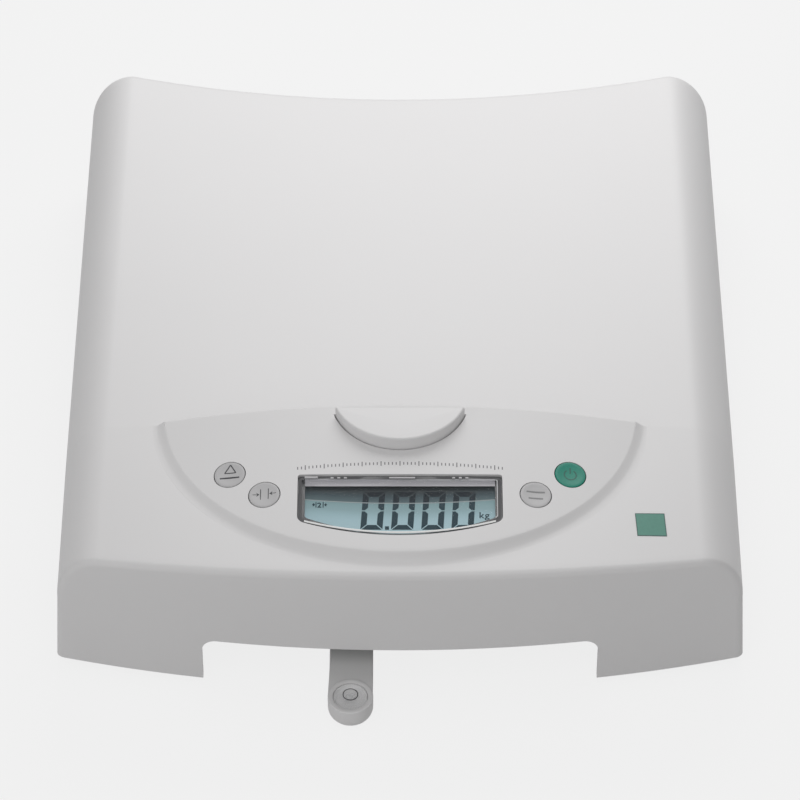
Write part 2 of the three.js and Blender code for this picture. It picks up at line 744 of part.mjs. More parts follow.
// Platform frame: a pressed sheet with turned-down edges, screwed under the shell
const frameSides = [cellMiddleY - frameDepth / 2, cellMiddleY + frameDepth / 2];
const cellHalf = cellLength / 2;
const boltXs = [cellHalf - cellEndMargin, cellHalf - cellEndMargin - cellBoltSpacing];
function platformFrame() {
  const [y0, y1] = frameSides;
  const [half, r] = [frameWidth / 2, frameCornerRadius];
  const flangeLow = frameBottom + frameSheet - frameFlange;
  const block = extruded(roundedRectangle(-half, half, y0, y1, r), flangeLow, frameTop);
  const [innerX, innerRadius] = [half - frameSheet, r - frameSheet];
  const inner = roundedRectangle(-innerX, innerX, y0 + frameSheet, y1 - frameSheet, innerRadius);
  const cuts = [extruded(inner, flangeLow - cutOverrun, frameBottom)];
  const [cutLow, cutHigh] = [frameBottom - cutOverrun, frameTop + cutOverrun];
  const [windowX, windowY] = [frameWindowWidth / 2, frameWindowDepth / 2];
  for (const sideX of [-1, 1]) {
    for (const sideY of [-1, 1]) {
      const [x, y] = [sideX * frameWindowX, cellMiddleY + sideY * frameWindowY];
      const hole = roundedRectangle(x - windowX, x + windowX, y - windowY, y + windowY, r);
      cuts.push(extruded(hole, cutLow, cutHigh));
    }
  }
  for (const [x, y] of postPlaces) cuts.push(upright(screwHole, cutLow, cutHigh, x, y, screwSides));
  for (const x of boltXs) cuts.push(upright(boltHole, cutLow, cutHigh, x, cellMiddleY, boltSides));
  return build(block, [], cuts);
}
place(scale, 'platform_frame', platformFrame(), steel);
postPlaces.forEach(([x, y], index) => {
  const screw = panHeadScrew(frameBottom - seatGap, frameSheet + screwGrip, x, y);
  place(scale, `shell_screw_${index + 1}`, screw, steel);
});

// Load cell with its bored flexure, spacers and bolts
function loadCell() {
  const [front, back] = [cellMiddleY - cellWidth / 2, cellMiddleY + cellWidth / 2];
  const beam = box(-cellHalf, cellHalf, front, back, cellBottom, cellTop);
  const middleZ = (cellBottom + cellTop) / 2;
  const cuts = [-1, 1].map((side) => {
    const [radius, length] = [cellBoreDiameter / 2, cellWidth + 2 * cutOverrun];
    const bore = new THREE.CylinderGeometry(radius, radius, length, bossSides);
    return bore.translate(side * cellBoreSpacing / 2, cellMiddleY, middleZ);
  });
  cuts.push(box(-cellBoreSpacing / 2, cellBoreSpacing / 2, front - cutOverrun, back + cutOverrun,
    middleZ - cellWeb / 2, middleZ + cellWeb / 2));
  const [holeLow, holeHigh] = [cellBottom - cutOverrun, cellTop + cutOverrun];
  for (const x of boltXs) {
    for (const side of [-1, 1]) {
      cuts.push(upright(boltHole, holeLow, holeHigh, side * x, cellMiddleY, boltSides));
    }
  }
  return build(beam, [], cuts);
}
place(scale, 'load_cell', loadCell(), aluminium);

function cellSpacer(side, z0) {
  const z1 = z0 + spacerThickness;
  const edges = [side * (cellHalf - spacerLength), side * cellHalf].sort((a, b) => a - b);
  const plate = box(edges[0], edges[1], cellMiddleY - cellWidth / 2, cellMiddleY + cellWidth / 2, z0, z1);
  const holes = boltXs.map((x) => {
    return upright(boltHole, z0 - cutOverrun, z1 + cutOverrun, side * x, cellMiddleY, boltSides);
  });
  return build(plate, [], holes);
}
place(scale, 'fixed_end_spacer', cellSpacer(-1, cellBossTop + seatGap), aluminium);
place(scale, 'free_end_spacer', cellSpacer(1, cellTop + seatGap), aluminium);

// Socket-head bolt along Z: the head's seat at z, the shank towards the given direction
function cellBolt(seat, direction, length, x) {
  const [head, body, socket] = [boltHead / 2, boltDiameter / 2, boltSocket / 2];
  const socketFloor = boltSocketDepth - boltHeadHeight;
  const profile = [
    [0, socketFloor], [socket, socketFloor], [socket, -boltHeadHeight], [head, -boltHeadHeight],
    [head, 0], [body, 0], [body, length], [0, length],
  ];
  const bolt = turned(profile, 0, 0, boltSides);
  if (direction < 0) bolt.rotateX(Math.PI);
  return bolt.translate(x, cellMiddleY, seat);
}
boltXs.forEach((x, index) => {
  const upLength = baseFloor - boltHeadHeight + cellBossHeight + spacerThickness + boltGrip;
  const fixedBolt = cellBolt(baseFloorLift + boltHeadHeight, 1, upLength, -x);
  place(scale, `fixed_end_bolt_${index + 1}`, fixedBolt, steel);
  const downLength = frameSheet + spacerThickness + boltGrip;
  place(scale, `free_end_bolt_${index + 1}`, cellBolt(frameTop + seatGap, -1, downLength, x), steel);
});

// Base plate
const feet = [
  { name: 'front_left', x: -footX, y: frontY + footFrontSetback },
  { name: 'front_right', x: footX, y: frontY + footFrontSetback },
  { name: 'back_left', x: -footX, y: backY - footBackSetback },
  { name: 'back_right', x: footX, y: backY - footBackSetback },
];
const insertTop = floorTop + insertHeight;
const levelScrewY = baseY.front + levelTongue / 2;
const stopPlaces = [];
for (const sideX of [-1, 1]) {
  for (const sideY of [-1, 1]) {
    const y = cellMiddleY + sideY * (frameDepth / 2 - frameCornerRadius - stopDiameter);
    stopPlaces.push([sideX * (framePostX - postDiameter - stopDiameter), y]);
  }
}
const bayHalfX = cellCount * aaPitch / 2;
const bayMiddleY = baseY.back - bayCentreInset;
const bayHalfY = aaLength / 2 + bayContactRoom;
const doorHalfX = bayHalfX + doorLip;
const doorY = { front: bayMiddleY - bayHalfY, back: bayMiddleY + bayHalfY };
const doorAxis = { y: doorY.back - doorThickness / 2, z: baseFloorLift + doorThickness / 2 };
const baseHalf = baseWidth / 2;

// The battery door turns on two pins that stand out of its round back edge
function doorPin(diameter, halfLength) {
  const pin = new THREE.CylinderGeometry(diameter / 2, diameter / 2, 2 * halfLength, boltSides);
  return pin.rotateZ(Math.PI / 2).translate(0, doorAxis.y, doorAxis.z);
}

function basePlate() {
  const outline = (inset) => roundedRectangle(-baseHalf + inset, baseHalf - inset, baseY.front + inset,
    baseY.back - inset, baseCornerRadius - inset);
  const block = extruded(outline(0), baseFloorLift, baseFloorLift + baseRimHeight);
  const hollow = extruded(outline(baseRimWall), floorTop, baseFloorLift + baseRimHeight + cutOverrun);
  const joined = feet.map((foot) => {
    return upright(insertDiameter + 2 * footBossWall, baseFloorLift, insertTop, foot.x, foot.y, bossSides);
  });
  for (const [x, y] of stopPlaces) {
    const top = floorTop + stopBossHeight;
    joined.push(upright(stopDiameter + 2 * footBossWall, baseFloorLift, top, x, y, boltSides));
  }
  joined.push(box(-cellHalf, spacerLength - cellHalf, cellMiddleY - cellWidth / 2,
    cellMiddleY + cellWidth / 2, baseFloorLift, cellBossTop));
  // Stiffening ribs from the load cell's boss to the feet, and the walls of the battery bay
  const ribTop = baseFloorLift + baseRimHeight;
  const ribHalf = baseRimWall / 2;
  for (const side of [-1, 1]) {
    const x = side * (footX - insertDiameter);
    joined.push(box(x - ribHalf, x + ribHalf, baseY.front + ribHalf, baseY.back - ribHalf,
      baseFloorLift, ribTop));
    const y = cellMiddleY + side * (cellWidth / 2 - ribHalf);
    joined.push(box(ribHalf - baseHalf, baseHalf - ribHalf, y - ribHalf, y + ribHalf,
      baseFloorLift, ribTop));
  }
  joined.push(box(-bayHalfX - bayWall, bayHalfX + bayWall, doorY.front - bayWall, doorY.back + bayWall,
    baseFloorLift, baseFloorLift + bayHeight));
  const cuts = feet.map((foot) => {
    const bore = insertDiameter + 2 * seatGap;
    return upright(bore, baseFloorLift - cutOverrun, insertTop + cutOverrun, foot.x, foot.y, bossSides);
  });
  for (const [x, y] of stopPlaces) {
    const top = floorTop + stopBossHeight;
    const bore = stopDiameter + 2 * seatGap;
    cuts.push(upright(bore, top - stopEngagement, top + cutOverrun, x, y, boltSides));
  }
  const underFloor = baseFloorLift - cutOverrun;
  for (const x of boltXs) {
    const [headHole, headTop] = [boltHead + 2 * seatGap, baseFloorLift + boltHeadHeight + seatGap];
    cuts.push(upright(boltHole, underFloor, cellBossTop + cutOverrun, -x, cellMiddleY, boltSides));
    cuts.push(upright(headHole, underFloor, headTop, -x, cellMiddleY, boltSides));
  }
  // Battery bay: open below for the door, roof kept above the cells
  const bayRoof = baseFloorLift + bayHeight - bayWall;
  cuts.push(box(-bayHalfX, bayHalfX, doorY.front, doorY.back, underFloor, bayRoof));
  const [doorSeatX, doorSeatZ] = [doorHalfX + doorPlay, baseFloorLift + doorThickness + seatGap];
  cuts.push(box(-doorSeatX, doorSeatX, doorY.front - doorPlay, doorY.back + doorPlay, underFloor, doorSeatZ));
  cuts.push(box(-nailWidth / 2, nailWidth / 2, doorY.front - nailDepth, doorY.front, underFloor,
    baseFloorLift + nailSink));
  cuts.push(doorPin(doorPinDiameter + 2 * seatGap, doorHalfX + doorPlay + doorPinReach + seatGap));
  // Seat of the spirit level's arm through the front rim
  cuts.push(box(levelX - levelArmWidth / 2 - seatGap, levelX + levelArmWidth / 2 + seatGap,
    baseY.front - cutOverrun, baseY.front + levelTongue + seatGap, floorTop, ribTop + cutOverrun));
  cuts.push(upright(screwHole, underFloor, floorTop + cutOverrun, levelX, levelScrewY, screwSides));
  let solid = toSolid(block).subtract(toSolid(hollow));
  for (const piece of joined) solid = solid.add(toSolid(piece));
  for (const piece of cuts) solid = solid.subtract(toSolid(piece));
  return toGeometry(solid);
}
place(scale, 'base_plate', basePlate(), white);

stopPlaces.forEach(([x, y], index) => {
  const bottom = floorTop + stopBossHeight - stopEngagement + seatGap;
  const tip = frameBottom - stopClearance;
  const stop = turned([
    [0, bottom], [stopDiameter / 2, bottom], [stopDiameter / 2, tip - stopBevel],
    [stopTip / 2, tip], [0, tip],
  ], x, y, boltSides);
  place(scale, `overload_stop_${index + 1}`, stop, steel);
});

// Screw feet: a brass insert in the base, a hand-turned screw and a rubber pad under it
function footScrew() {
  const low = padThickness - padPocket + seatGap;
  const discTop = low + padPocket + footDiscThickness;
  const points = [];
  const steps = footLobes * lobeSteps;
  for (let i = 0; i < steps; i += 1) {
    const turn = 2 * Math.PI * i / steps;
    const radius = footDiscDiameter / 2 - footLobeDepth * (1 - Math.cos(footLobes * turn)) / 2;
    points.push(new THREE.Vector2(radius * Math.cos(turn), radius * Math.sin(turn)));
  }
  const disc = extruded(new THREE.Shape(points), padThickness + seatGap, discTop);
  const spigot = upright(spigotDiameter, low, padThickness + footDiscThickness / 2, 0, 0, bossSides);
  const stud = upright(studDiameter, discTop - footDiscThickness / 2, discTop + studLength, 0, 0, bossSides);
  return build(disc, [spigot, stud]);
}

function footPad() {
  const [r, pocket] = [padDiameter / 2, spigotDiameter / 2 + seatGap];
  return turned([
    [0, 0], [r - padBevel, 0], [r, padBevel], [r, padThickness], [pocket, padThickness],
    [pocket, padThickness - padPocket], [0, padThickness - padPocket],
  ], 0, 0, bossSides);
}

function footInsert() {
  const [r, bore] = [insertDiameter / 2, studDiameter / 2 + seatGap];
  return turned([
    [bore, floorTop - baseFloor], [r, floorTop - baseFloor], [r, insertTop], [bore, insertTop],
    [bore, floorTop - baseFloor],
  ], 0, 0, bossSides);
}
for (const foot of feet) {
  const station = new THREE.Group();
  station.position.set(foot.x, foot.y, 0);
  scale.add(station);
  place(station, `${foot.name}_foot_insert`, footInsert(), brass);
  place(station, `${foot.name}_foot_screw`, footScrew(), darkPlastic);
  place(station, `${foot.name}_foot_pad`, footPad(), rubber);
}

// Spirit level on its arm, whose top is flush with the cup's rim
const levelY = frontY - levelReach + levelCupDiameter / 2;
const armBottom = floorTop + seatGap;
const cupTop = levelCupLift + levelCupHeight;
function levelArm() {
  const half = levelArmWidth / 2;
  const strip = box(levelX - half, levelX + half, levelY, baseY.front + levelTongue, armBottom, cupTop);
  const cup = upright(levelCupDiameter, levelCupLift, cupTop, levelX, levelY, largeSides);
  const wellFloor = cupTop - vialHeight - vialFloorThickness - seatGap;
  const above = cupTop + cutOverrun;
  const well = upright(vialDiameter + 2 * seatGap, wellFloor, above, levelX, levelY, largeSides);
  const hole = upright(screwHole, armBottom - cutOverrun, above, levelX, levelScrewY, screwSides);
  return build(strip, [cup], [well, hole]);
}
place(scale, 'level_arm', levelArm(), white);
place(scale, 'level_screw',
  panHeadScrew(baseFloorLift - seatGap, cupTop - baseFloorLift, levelX, levelScrewY), steel);
const vialBottom = cupTop - vialHeight;
const vialFloorLow = vialBottom - vialFloorThickness;
place(scale, 'level_vial_floor',
  upright(vialDiameter, vialFloorLow, vialBottom - seatGap, levelX, levelY, bossSides), lcdGlass);
const vialRadius = vialDiameter / 2;
place(scale, 'level_vial', turned([
  [0, vialBottom + vialHeight - vialWall], [vialRadius - vialWall, vialBottom + vialHeight - 2 * vialWall],
  [vialRadius - vialWall, vialBottom], [vialRadius, vialBottom],
  [vialRadius, vialBottom + vialHeight - vialWall],
  [vialRadius - vialWall, vialBottom + vialHeight], [0, vialBottom + vialHeight],
], levelX, levelY, bossSides), clear);

// Batteries, their contact strips and the door
const cellAxisZ = baseFloorLift + doorThickness + 2 * seatGap + aaDiameter / 2;
for (let i = 0; i < cellCount; i += 1) {
  const x = (i - (cellCount - 1) / 2) * aaPitch;
  const [r, nub, half] = [aaDiameter / 2, aaNubDiameter / 2, aaLength / 2];
  const shoulder = half - aaNubLength;
  const can = new THREE.LatheGeometry([
    [0, -half], [r, -half], [r, shoulder], [nub, shoulder], [nub, half], [0, half],
  ].map(([radius, along]) => new THREE.Vector2(radius, along)), bossSides);
  if (i % 2 === 1) can.rotateX(Math.PI);
  place(scale, `battery_cell_${i + 1}`, can.translate(x, bayMiddleY, cellAxisZ), steel);
}
for (const [name, side] of [['front_contact_strip', -1], ['back_contact_strip', 1]]) {
  const y = bayMiddleY + side * (aaLength / 2 + seatGap + contactThickness / 2);
  const half = contactThickness / 2;
  place(scale, name, box(-bayHalfX + seatGap, bayHalfX - seatGap, y - half, y + half,
    cellAxisZ - contactHeight / 2, cellAxisZ + contactHeight / 2), brass);
}
function batteryDoor() {
  const doorTop = baseFloorLift + doorThickness;
  const leaf = box(-doorHalfX, doorHalfX, doorY.front, doorAxis.y, baseFloorLift, doorTop);
  const edge = doorPin(doorThickness, doorHalfX);
  const pins = doorPin(doorPinDiameter, doorHalfX + doorPlay + doorPinReach);
  const latchFront = doorY.front + doorPlay;
  const latch = box(-latchWidth / 2, latchWidth / 2, latchFront, latchFront + latchThickness,
    baseFloorLift + doorThickness / 2, doorTop + latchHeight);
  return build(leaf, [edge, pins, latch]);
}
place(scale, 'battery_door', batteryDoor(), white);

export default scale;
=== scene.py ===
import math
import bpy
from mathutils import Matrix, Vector


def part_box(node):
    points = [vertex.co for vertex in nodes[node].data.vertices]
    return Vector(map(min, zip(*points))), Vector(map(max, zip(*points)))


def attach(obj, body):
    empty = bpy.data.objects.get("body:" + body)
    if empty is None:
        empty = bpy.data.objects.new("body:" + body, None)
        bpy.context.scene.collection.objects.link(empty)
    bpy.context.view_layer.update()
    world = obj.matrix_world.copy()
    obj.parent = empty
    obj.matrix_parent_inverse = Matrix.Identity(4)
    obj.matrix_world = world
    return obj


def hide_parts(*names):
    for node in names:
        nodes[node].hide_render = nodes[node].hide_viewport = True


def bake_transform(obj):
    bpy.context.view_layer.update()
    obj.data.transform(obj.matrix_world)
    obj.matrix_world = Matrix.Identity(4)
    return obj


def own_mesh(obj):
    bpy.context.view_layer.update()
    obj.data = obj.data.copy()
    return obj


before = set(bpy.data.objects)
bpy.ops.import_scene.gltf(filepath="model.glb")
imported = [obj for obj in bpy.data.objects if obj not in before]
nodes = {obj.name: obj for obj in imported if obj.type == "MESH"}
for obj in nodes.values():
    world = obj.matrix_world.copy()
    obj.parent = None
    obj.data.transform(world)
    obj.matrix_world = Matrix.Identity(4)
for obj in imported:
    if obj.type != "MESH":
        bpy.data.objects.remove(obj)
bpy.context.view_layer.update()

MM = 0.001

# The view: square on from the front, looking down at the weighing platform, as the
# photograph was taken, with a long lens.
CAMERA_PLACE = Vector((0, -1303, 1347)) * MM
CAMERA_TARGET = Vector((0, -5, 35)) * MM
LENS_LENGTH = 186.4
camera_data = bpy.data.cameras.new("camera")
camera_data.lens = LENS_LENGTH
camera_data.sensor_width = 36
camera = bpy.data.objects.new("camera", camera_data)
camera.location = CAMERA_PLACE
camera.rotation_euler = (CAMERA_TARGET - CAMERA_PLACE).to_track_quat("-Z", "Y").to_euler()
bpy.context.scene.collection.objects.link(camera)
bpy.context.scene.camera = camera
bpy.context.scene.view_settings.view_transform = "Standard"

# Studio light: a pale room, a soft box close behind the scale, a broad one high in front of it,
# and a weak one at the front left that fills the front wall.
ROOM_LEVEL = 0.35
SOFT_BOXES = {
    "back_box": ((55, 430, 520), 500, 2.4),
    "front_box": ((0, -900, 1300), 700, 4.3),
    "side_box": ((-900, -1100, 500), 700, 2.6),
}
LIGHT_AIM = Vector((0, 0, 60)) * MM
world = bpy.data.worlds.new("room")
world.use_nodes = True
world.node_tree.nodes["Background"].inputs["Color"].default_value = (1, 1, 1, 1)
world.node_tree.nodes["Background"].inputs["Strength"].default_value = ROOM_LEVEL
bpy.context.scene.world = world
for box_name, (box_place, box_size, box_power) in SOFT_BOXES.items():
    box_data = bpy.data.lights.new(box_name, "AREA")
    box_data.shape = "SQUARE"
    box_data.size = box_size * MM
    box_data.energy = box_power
    soft_box = bpy.data.objects.new(box_name, box_data)
    soft_box.location = Vector(box_place) * MM
    soft_box.rotation_euler = (LIGHT_AIM - soft_box.location).to_track_quat("-Z", "Y").to_euler()
    bpy.context.scene.collection.objects.link(soft_box)


# The floor: a plain pale table top. Seen by the camera and in glossy surfaces it keeps the
# backdrop's even tone, with a share of its real light so that the shadow stays.
BACKDROP = 0.935
SHADOW_SHARE = 0.12
FLOOR_PAINT = 0.6


def feed(tree, part, inputs):
    """Sets a shader node's inputs, each to a number, a colour or another node's output."""
    for socket, value in inputs.items():
        if isinstance(value, bpy.types.NodeSocket):
            tree.links.new(value, part.inputs[socket])
        else:
            part.inputs[socket].default_value = value


def add(tree, kind, inputs, output=0, **settings):
    """Adds a shader node with its settings and inputs, and gives one of its outputs."""
    part = tree.nodes.new("ShaderNode" + kind)
    for key, value in settings.items():
        setattr(part, key, value)
    feed(tree, part, inputs)
    return part.outputs[output]


def arith(tree, operation, *values):
    """A sum or the like of numbers and wires, worked out for each point."""
    return add(tree, "Math", dict(enumerate(values)), operation=operation)


def new_material(name):
    """A new material, its node tree and its shader."""
    material = bpy.data.materials.new(name)
    material.use_nodes = True
    return material, material.node_tree, material.node_tree.nodes["Principled BSDF"]


bpy.ops.object.select_all(action="DESELECT")
bpy.ops.mesh.primitive_plane_add(size=12)
floor = bpy.context.active_object
floor.name = "table_top"
floor_paint, tree, floor_shader = new_material("table_paint")
feed(tree, floor_shader, {"Base Color": (FLOOR_PAINT, FLOOR_PAINT, FLOOR_PAINT, 1), "Roughness": 0.9,
                          "Specular IOR Level": 0.1})
floor_glow = add(tree, "Emission", {"Color": (BACKDROP, BACKDROP, BACKDROP, 1)})
rays = tree.nodes.new("ShaderNodeLightPath").outputs
seen = arith(tree, "MAXIMUM", rays["Is Camera Ray"], rays["Is Glossy Ray"])
seen = arith(tree, "MAXIMUM", seen, rays["Is Transmission Ray"])
glow_share = arith(tree, "MULTIPLY", seen, 1 - SHADOW_SHARE)
floor_mix = add(tree, "MixShader", {"Fac": glow_share, 1: floor_shader.outputs["BSDF"], 2: floor_glow})
feed(tree, tree.nodes["Material Output"], {"Surface": floor_mix})
floor.data.materials.append(floor_paint)

# Top shell: one injection moulding in pale satin plastic. Its cross-section is a shallow arch
# at the front, lies nearly flat at the crease and dips towards the back, over rounded
# shoulders and drafted side walls. The front wall is bowed out, the back edge bowed in.
FRONT_Y = -149.0
BACK_Y = 171.0
CREASE_Y = -61.0
SKIRT_BOTTOM = 6.0
HALF_WIDTH = 145.0
SHOULDER_WIDTH = 20.0
SHOULDER_DROP = 28.0
CROWN_HALF = HALF_WIDTH - SHOULDER_WIDTH
WALL_DRAFT = math.tan(math.radians(3.4))
WALL_THICKNESS = 3.0
FRONT_SIDE, CREASE_SIDE, BACK_SIDE = 70.8, 74.8, 75.0
FRONT_ARCH, CREASE_ARCH, BACK_ARCH = 5.9, 2.3, -5.0
FRONT_BOW, BACK_BOW = 600.0, 720.0
FRONT_EDGE, BACK_EDGE = 3.0, 4.0
SHELL_PAINT = (0.712, 0.704, 0.706)


def finish_group(name, amounts):
    """A node group for a surface: colour, roughness and amounts in; colour, roughness, normal out."""
    group = bpy.data.node_groups.new(name, "ShaderNodeTree")
    shared = {"Colour": "Color", "Roughness": "Float"}
    for way, sockets in (("INPUT", {**shared, **amounts}), ("OUTPUT", {**shared, "Normal": "Vector"})):
        for socket, kind in sockets.items():
            group.interface.new_socket(socket, in_out=way, socket_type="NodeSocket" + kind)
    return group, group.nodes.new("NodeGroupInput").outputs, group.nodes.new("NodeGroupOutput")


def vary(tree, entry, leave, change, strength, height, depth):
    """Changes the colour and gloss that come in by a small share, and adds a bump."""
    level = arith(tree, "ADD", change, 1)
    feed(tree, leave, {
        "Colour": add(tree, "VectorMath", {0: entry["Colour"], "Scale": level}, operation="SCALE"),
        "Roughness": arith(tree, "ADD", entry["Roughness"], change),
        "Normal": add(tree, "Bump", {"Distance": depth * MM, "Strength": strength, "Height": height}),
    })


def place_finish(tree, shader, group, inputs):
    """Places a finish group in a material, in front of its shader."""
    part = tree.nodes.new("ShaderNodeGroup")
    part.node_tree = group
    feed(tree, part, inputs)
    for socket, output in (("Base Color", "Colour"), ("Roughness", "Roughness"), ("Normal", "Normal")):
        tree.links.new(part.outputs[output], shader.inputs[socket])


def surface_place(tree):
    """Where a point lies on its piece, for patterns that stay with it."""
    return add(tree, "TexCoord", {}, "Object")


def plastic_grain():
    """Fine moulded grain as a bump, with a soft cloudiness in colour and gloss."""
    tree, entry, leave = finish_group("plastic_grain", {"Grain": "Float", "Cloud": "Float"})
    place = surface_place(tree)
    fine = add(tree, "TexNoise", {"Vector": place, "Scale": 2600, "Detail": 2})
    broad = add(tree, "TexNoise", {"Vector": place, "Scale": 14, "Detail": 3})
    centred = arith(tree, "SUBTRACT", broad, 0.5)
    change = arith(tree, "MULTIPLY", centred, entry["Cloud"])
    vary(tree, entry, leave, change, entry["Grain"], fine, 0.05)
    return tree


GRAIN = plastic_grain()


def moulded_plastic(name, colour, roughness=0.45, grain=0.35, cloud=0.03):
    """Injection-moulded plastic: satin gloss, fine grain and a faint unevenness."""
    material, tree, shader = new_material(name)
    place_finish(tree, shader, GRAIN, {"Colour": (*colour, 1), "Roughness": roughness, "Grain": grain,
                                       "Cloud": cloud})
    shader.inputs["IOR"].default_value = 1.46
    return material


def quarter(count):
    """(1 - cosine, 1 - sine) at even steps of a quarter turn, for rounded edges."""
    turns = [math.pi / 2 * step / count for step in range(count + 1)]
    return [(1 - math.cos(turn), 1 - math.sin(turn)) for turn in turns]


def lerp(a, b, share):
    return a + (b - a) * share


def shell_levels(y):
    """Height of the shoulders and rise of the arch at a distance from the front."""
    if y < CREASE_Y:
        share = (y - FRONT_Y) / (CREASE_Y - FRONT_Y)
        return lerp(FRONT_SIDE, CREASE_SIDE, share), lerp(FRONT_ARCH, CREASE_ARCH, share)
    share = (y - CREASE_Y) / (BACK_Y - CREASE_Y)
    return lerp(CREASE_SIDE, BACK_SIDE, share), lerp(CREASE_ARCH, BACK_ARCH, share)


def shell_top(x, y):
    side, arch = shell_levels(y)
    return side + arch * (1 - min(1, (x / CROWN_HALF) ** 2))


def bow(x, y):
    """How far the front wall's bow and the back edge's hollow move a point along Y."""
    front_share = max(0, (CREASE_Y - y) / (CREASE_Y - FRONT_Y))
    back_share = max(0, (y - CREASE_Y) / (BACK_Y - CREASE_Y))
    reach = min(abs(x), CROWN_HALF)
    hollow = (reach * reach - CROWN_HALF ** 2) / (2 * BACK_BOW)
    return front_share * x * x / (2 * FRONT_BOW) + back_share * hollow


def half_section(y, inset):
    """Half of a cross-section, from the middle of the top down to the skirt's edge."""
    side, arch = shell_levels(y)
    points = []
    for step in range(TOP_STEPS + 1):
        x = CROWN_HALF * step / TOP_STEPS
        points.append((x, side + arch * (1 - (x / CROWN_HALF) ** 2) - inset))
    for step in range(1, SHOULDER_STEPS + 1):
        turn = math.pi / 2 * step / SHOULDER_STEPS
        x = CROWN_HALF + (SHOULDER_WIDTH - inset) * math.sin(turn)
        points.append((x, side - SHOULDER_DROP + (SHOULDER_DROP - inset) * math.cos(turn)))
    low = side - SHOULDER_DROP
    for step in range(1, WALL_STEPS + 1):
        z = lerp(low, SKIRT_BOTTOM, step / WALL_STEPS)
        points.append((HALF_WIDTH - inset + (low - z) * WALL_DRAFT, z))
    return points


TOP_STEPS, SHOULDER_STEPS, WALL_STEPS = 50, 20, 8
EDGE_STEPS, CAP_STEPS = 8, 12
FRONT_ROWS, BACK_ROWS, CREASE_SOFT = 28, 70, 0.4


def full_section(y, inset):
    half = half_section(y, inset)
    return [(-x, z) for x, z in reversed(half[1:])] + half


def section_rows():
    """Rows of points: up the front wall, round its edge, over the top and down the back wall."""
    edge = quarter(EDGE_STEPS)
    ends = (FRONT_Y + FRONT_EDGE, CREASE_Y - CREASE_SOFT), (CREASE_Y + CREASE_SOFT, BACK_Y - BACK_EDGE)
    front, back = ([(lerp(*span, step / (count - 1)), 0) for step in range(count)]
                   for span, count in zip(ends, (FRONT_ROWS, BACK_ROWS)))
    places = [(FRONT_Y + FRONT_EDGE * run, FRONT_EDGE * fall) for run, fall in edge[:-1]]
    places += front + [(CREASE_Y, 0)] + back
    places += [(BACK_Y - BACK_EDGE * fall, BACK_EDGE * run) for run, fall in edge[1:]]
    rows = [[(x, y, z) for x, z in full_section(y, inset)] for y, inset in places]
    walls = []
    for row in (rows[0], rows[-1]):
        shares = [step / CAP_STEPS for step in range(CAP_STEPS)]
        walls.append([[(x, y, lerp(SKIRT_BOTTOM, z, share)) for x, y, z in row] for share in shares])
    return walls[0] + rows + walls[1][::-1]


def grid_piece(name, rows):
    """A grid primitive with its points moved to the given rows, in millimetres."""
    count = len(rows[0])
    bpy.ops.object.select_all(action="DESELECT")
    bpy.ops.mesh.primitive_grid_add(x_subdivisions=count - 1, y_subdivisions=len(rows) - 1, size=1)
    piece = bpy.context.active_object
    piece.name = name
    for index, vertex in enumerate(piece.data.vertices):
        vertex.co = Vector(rows[index // count][index % count]) * MM
    return piece


def only(piece):
    """Selects one piece and makes it the active one."""
    bpy.ops.object.select_all(action="DESELECT")
    piece.select_set(True)
    bpy.context.view_layer.objects.active = piece


def apply_modifier(piece, kind, **settings):
    only(piece)
    modifier = piece.modifiers.new(kind.lower(), kind)
    for key, value in settings.items():
        setattr(modifier, key, value)
    bpy.ops.object.modifier_apply(modifier=modifier.name)


def merge_doubles(piece):
    """Merges points that lie together and turns the faces outwards."""
    only(piece)
    bpy.ops.object.mode_set(mode="EDIT")
    bpy.ops.mesh.select_all(action="SELECT")
    bpy.ops.mesh.remove_doubles(threshold=0.01 * MM)
    bpy.ops.mesh.normals_make_consistent(inside=False)
    bpy.ops.object.mode_set(mode="OBJECT")


def cut_away(piece, cutter):
    """Cuts one piece with another and removes the cutter."""
    apply_modifier(piece, "BOOLEAN", operation="DIFFERENCE", object=cutter, solver="EXACT")
    bpy.data.objects.remove(cutter)


def smooth(piece, angle=35):
    only(piece)
    bpy.ops.object.shade_smooth_by_angle(angle=math.radians(angle))


def finish(piece, material, body, slot, *replaced):
    """Gives a piece its material, the body it rides on and the CAD nodes it stands for."""
    piece.data.materials.clear()
    piece.data.materials.append(material)
    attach(piece, body)
    if replaced:
        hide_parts(*replaced)


shell_rows = [[(x, y + bow(x, y), z) for x, y, z in row] for row in section_rows()]
shell = grid_piece("shell_moulding", shell_rows)
merge_doubles(shell)
apply_modifier(shell, "SOLIDIFY", thickness=WALL_THICKNESS * MM, offset=-1, use_even_offset=False)

# The wide gaps between the legs of the skirt, front and back.
GAP_HALF = 84.0
GAP_TOP = 30.4
GAP_RADIUS = 6.5


def block(name, low, high):
    """A box between two corners, in millimetres."""
    bpy.ops.object.select_all(action="DESELECT")
    middle = (Vector(low) + Vector(high)) / 2 * MM
    bpy.ops.mesh.primitive_cube_add(size=1, location=middle)
    piece = bpy.context.active_object
    piece.name = name
    piece.scale = (Vector(high) - Vector(low)) * MM
    bpy.ops.object.transform_apply(location=True, rotation=True, scale=True)
    return piece


def bevel_edges(piece, chosen, width, segments):
    """Bevels the edges that a test on their two ends picks, in millimetres."""
    only(piece)
    for edge in piece.data.edges:
        ends = [piece.data.vertices[i].co / MM for i in edge.vertices]
        edge.select = chosen(*ends)
    for face in piece.data.polygons:
        face.select = False
    bpy.ops.object.mode_set(mode="EDIT")
    bpy.ops.mesh.select_mode(type="EDGE")
    bpy.ops.mesh.bevel(offset=width * MM, segments=segments, affect="EDGES")
    bpy.ops.object.mode_set(mode="OBJECT")


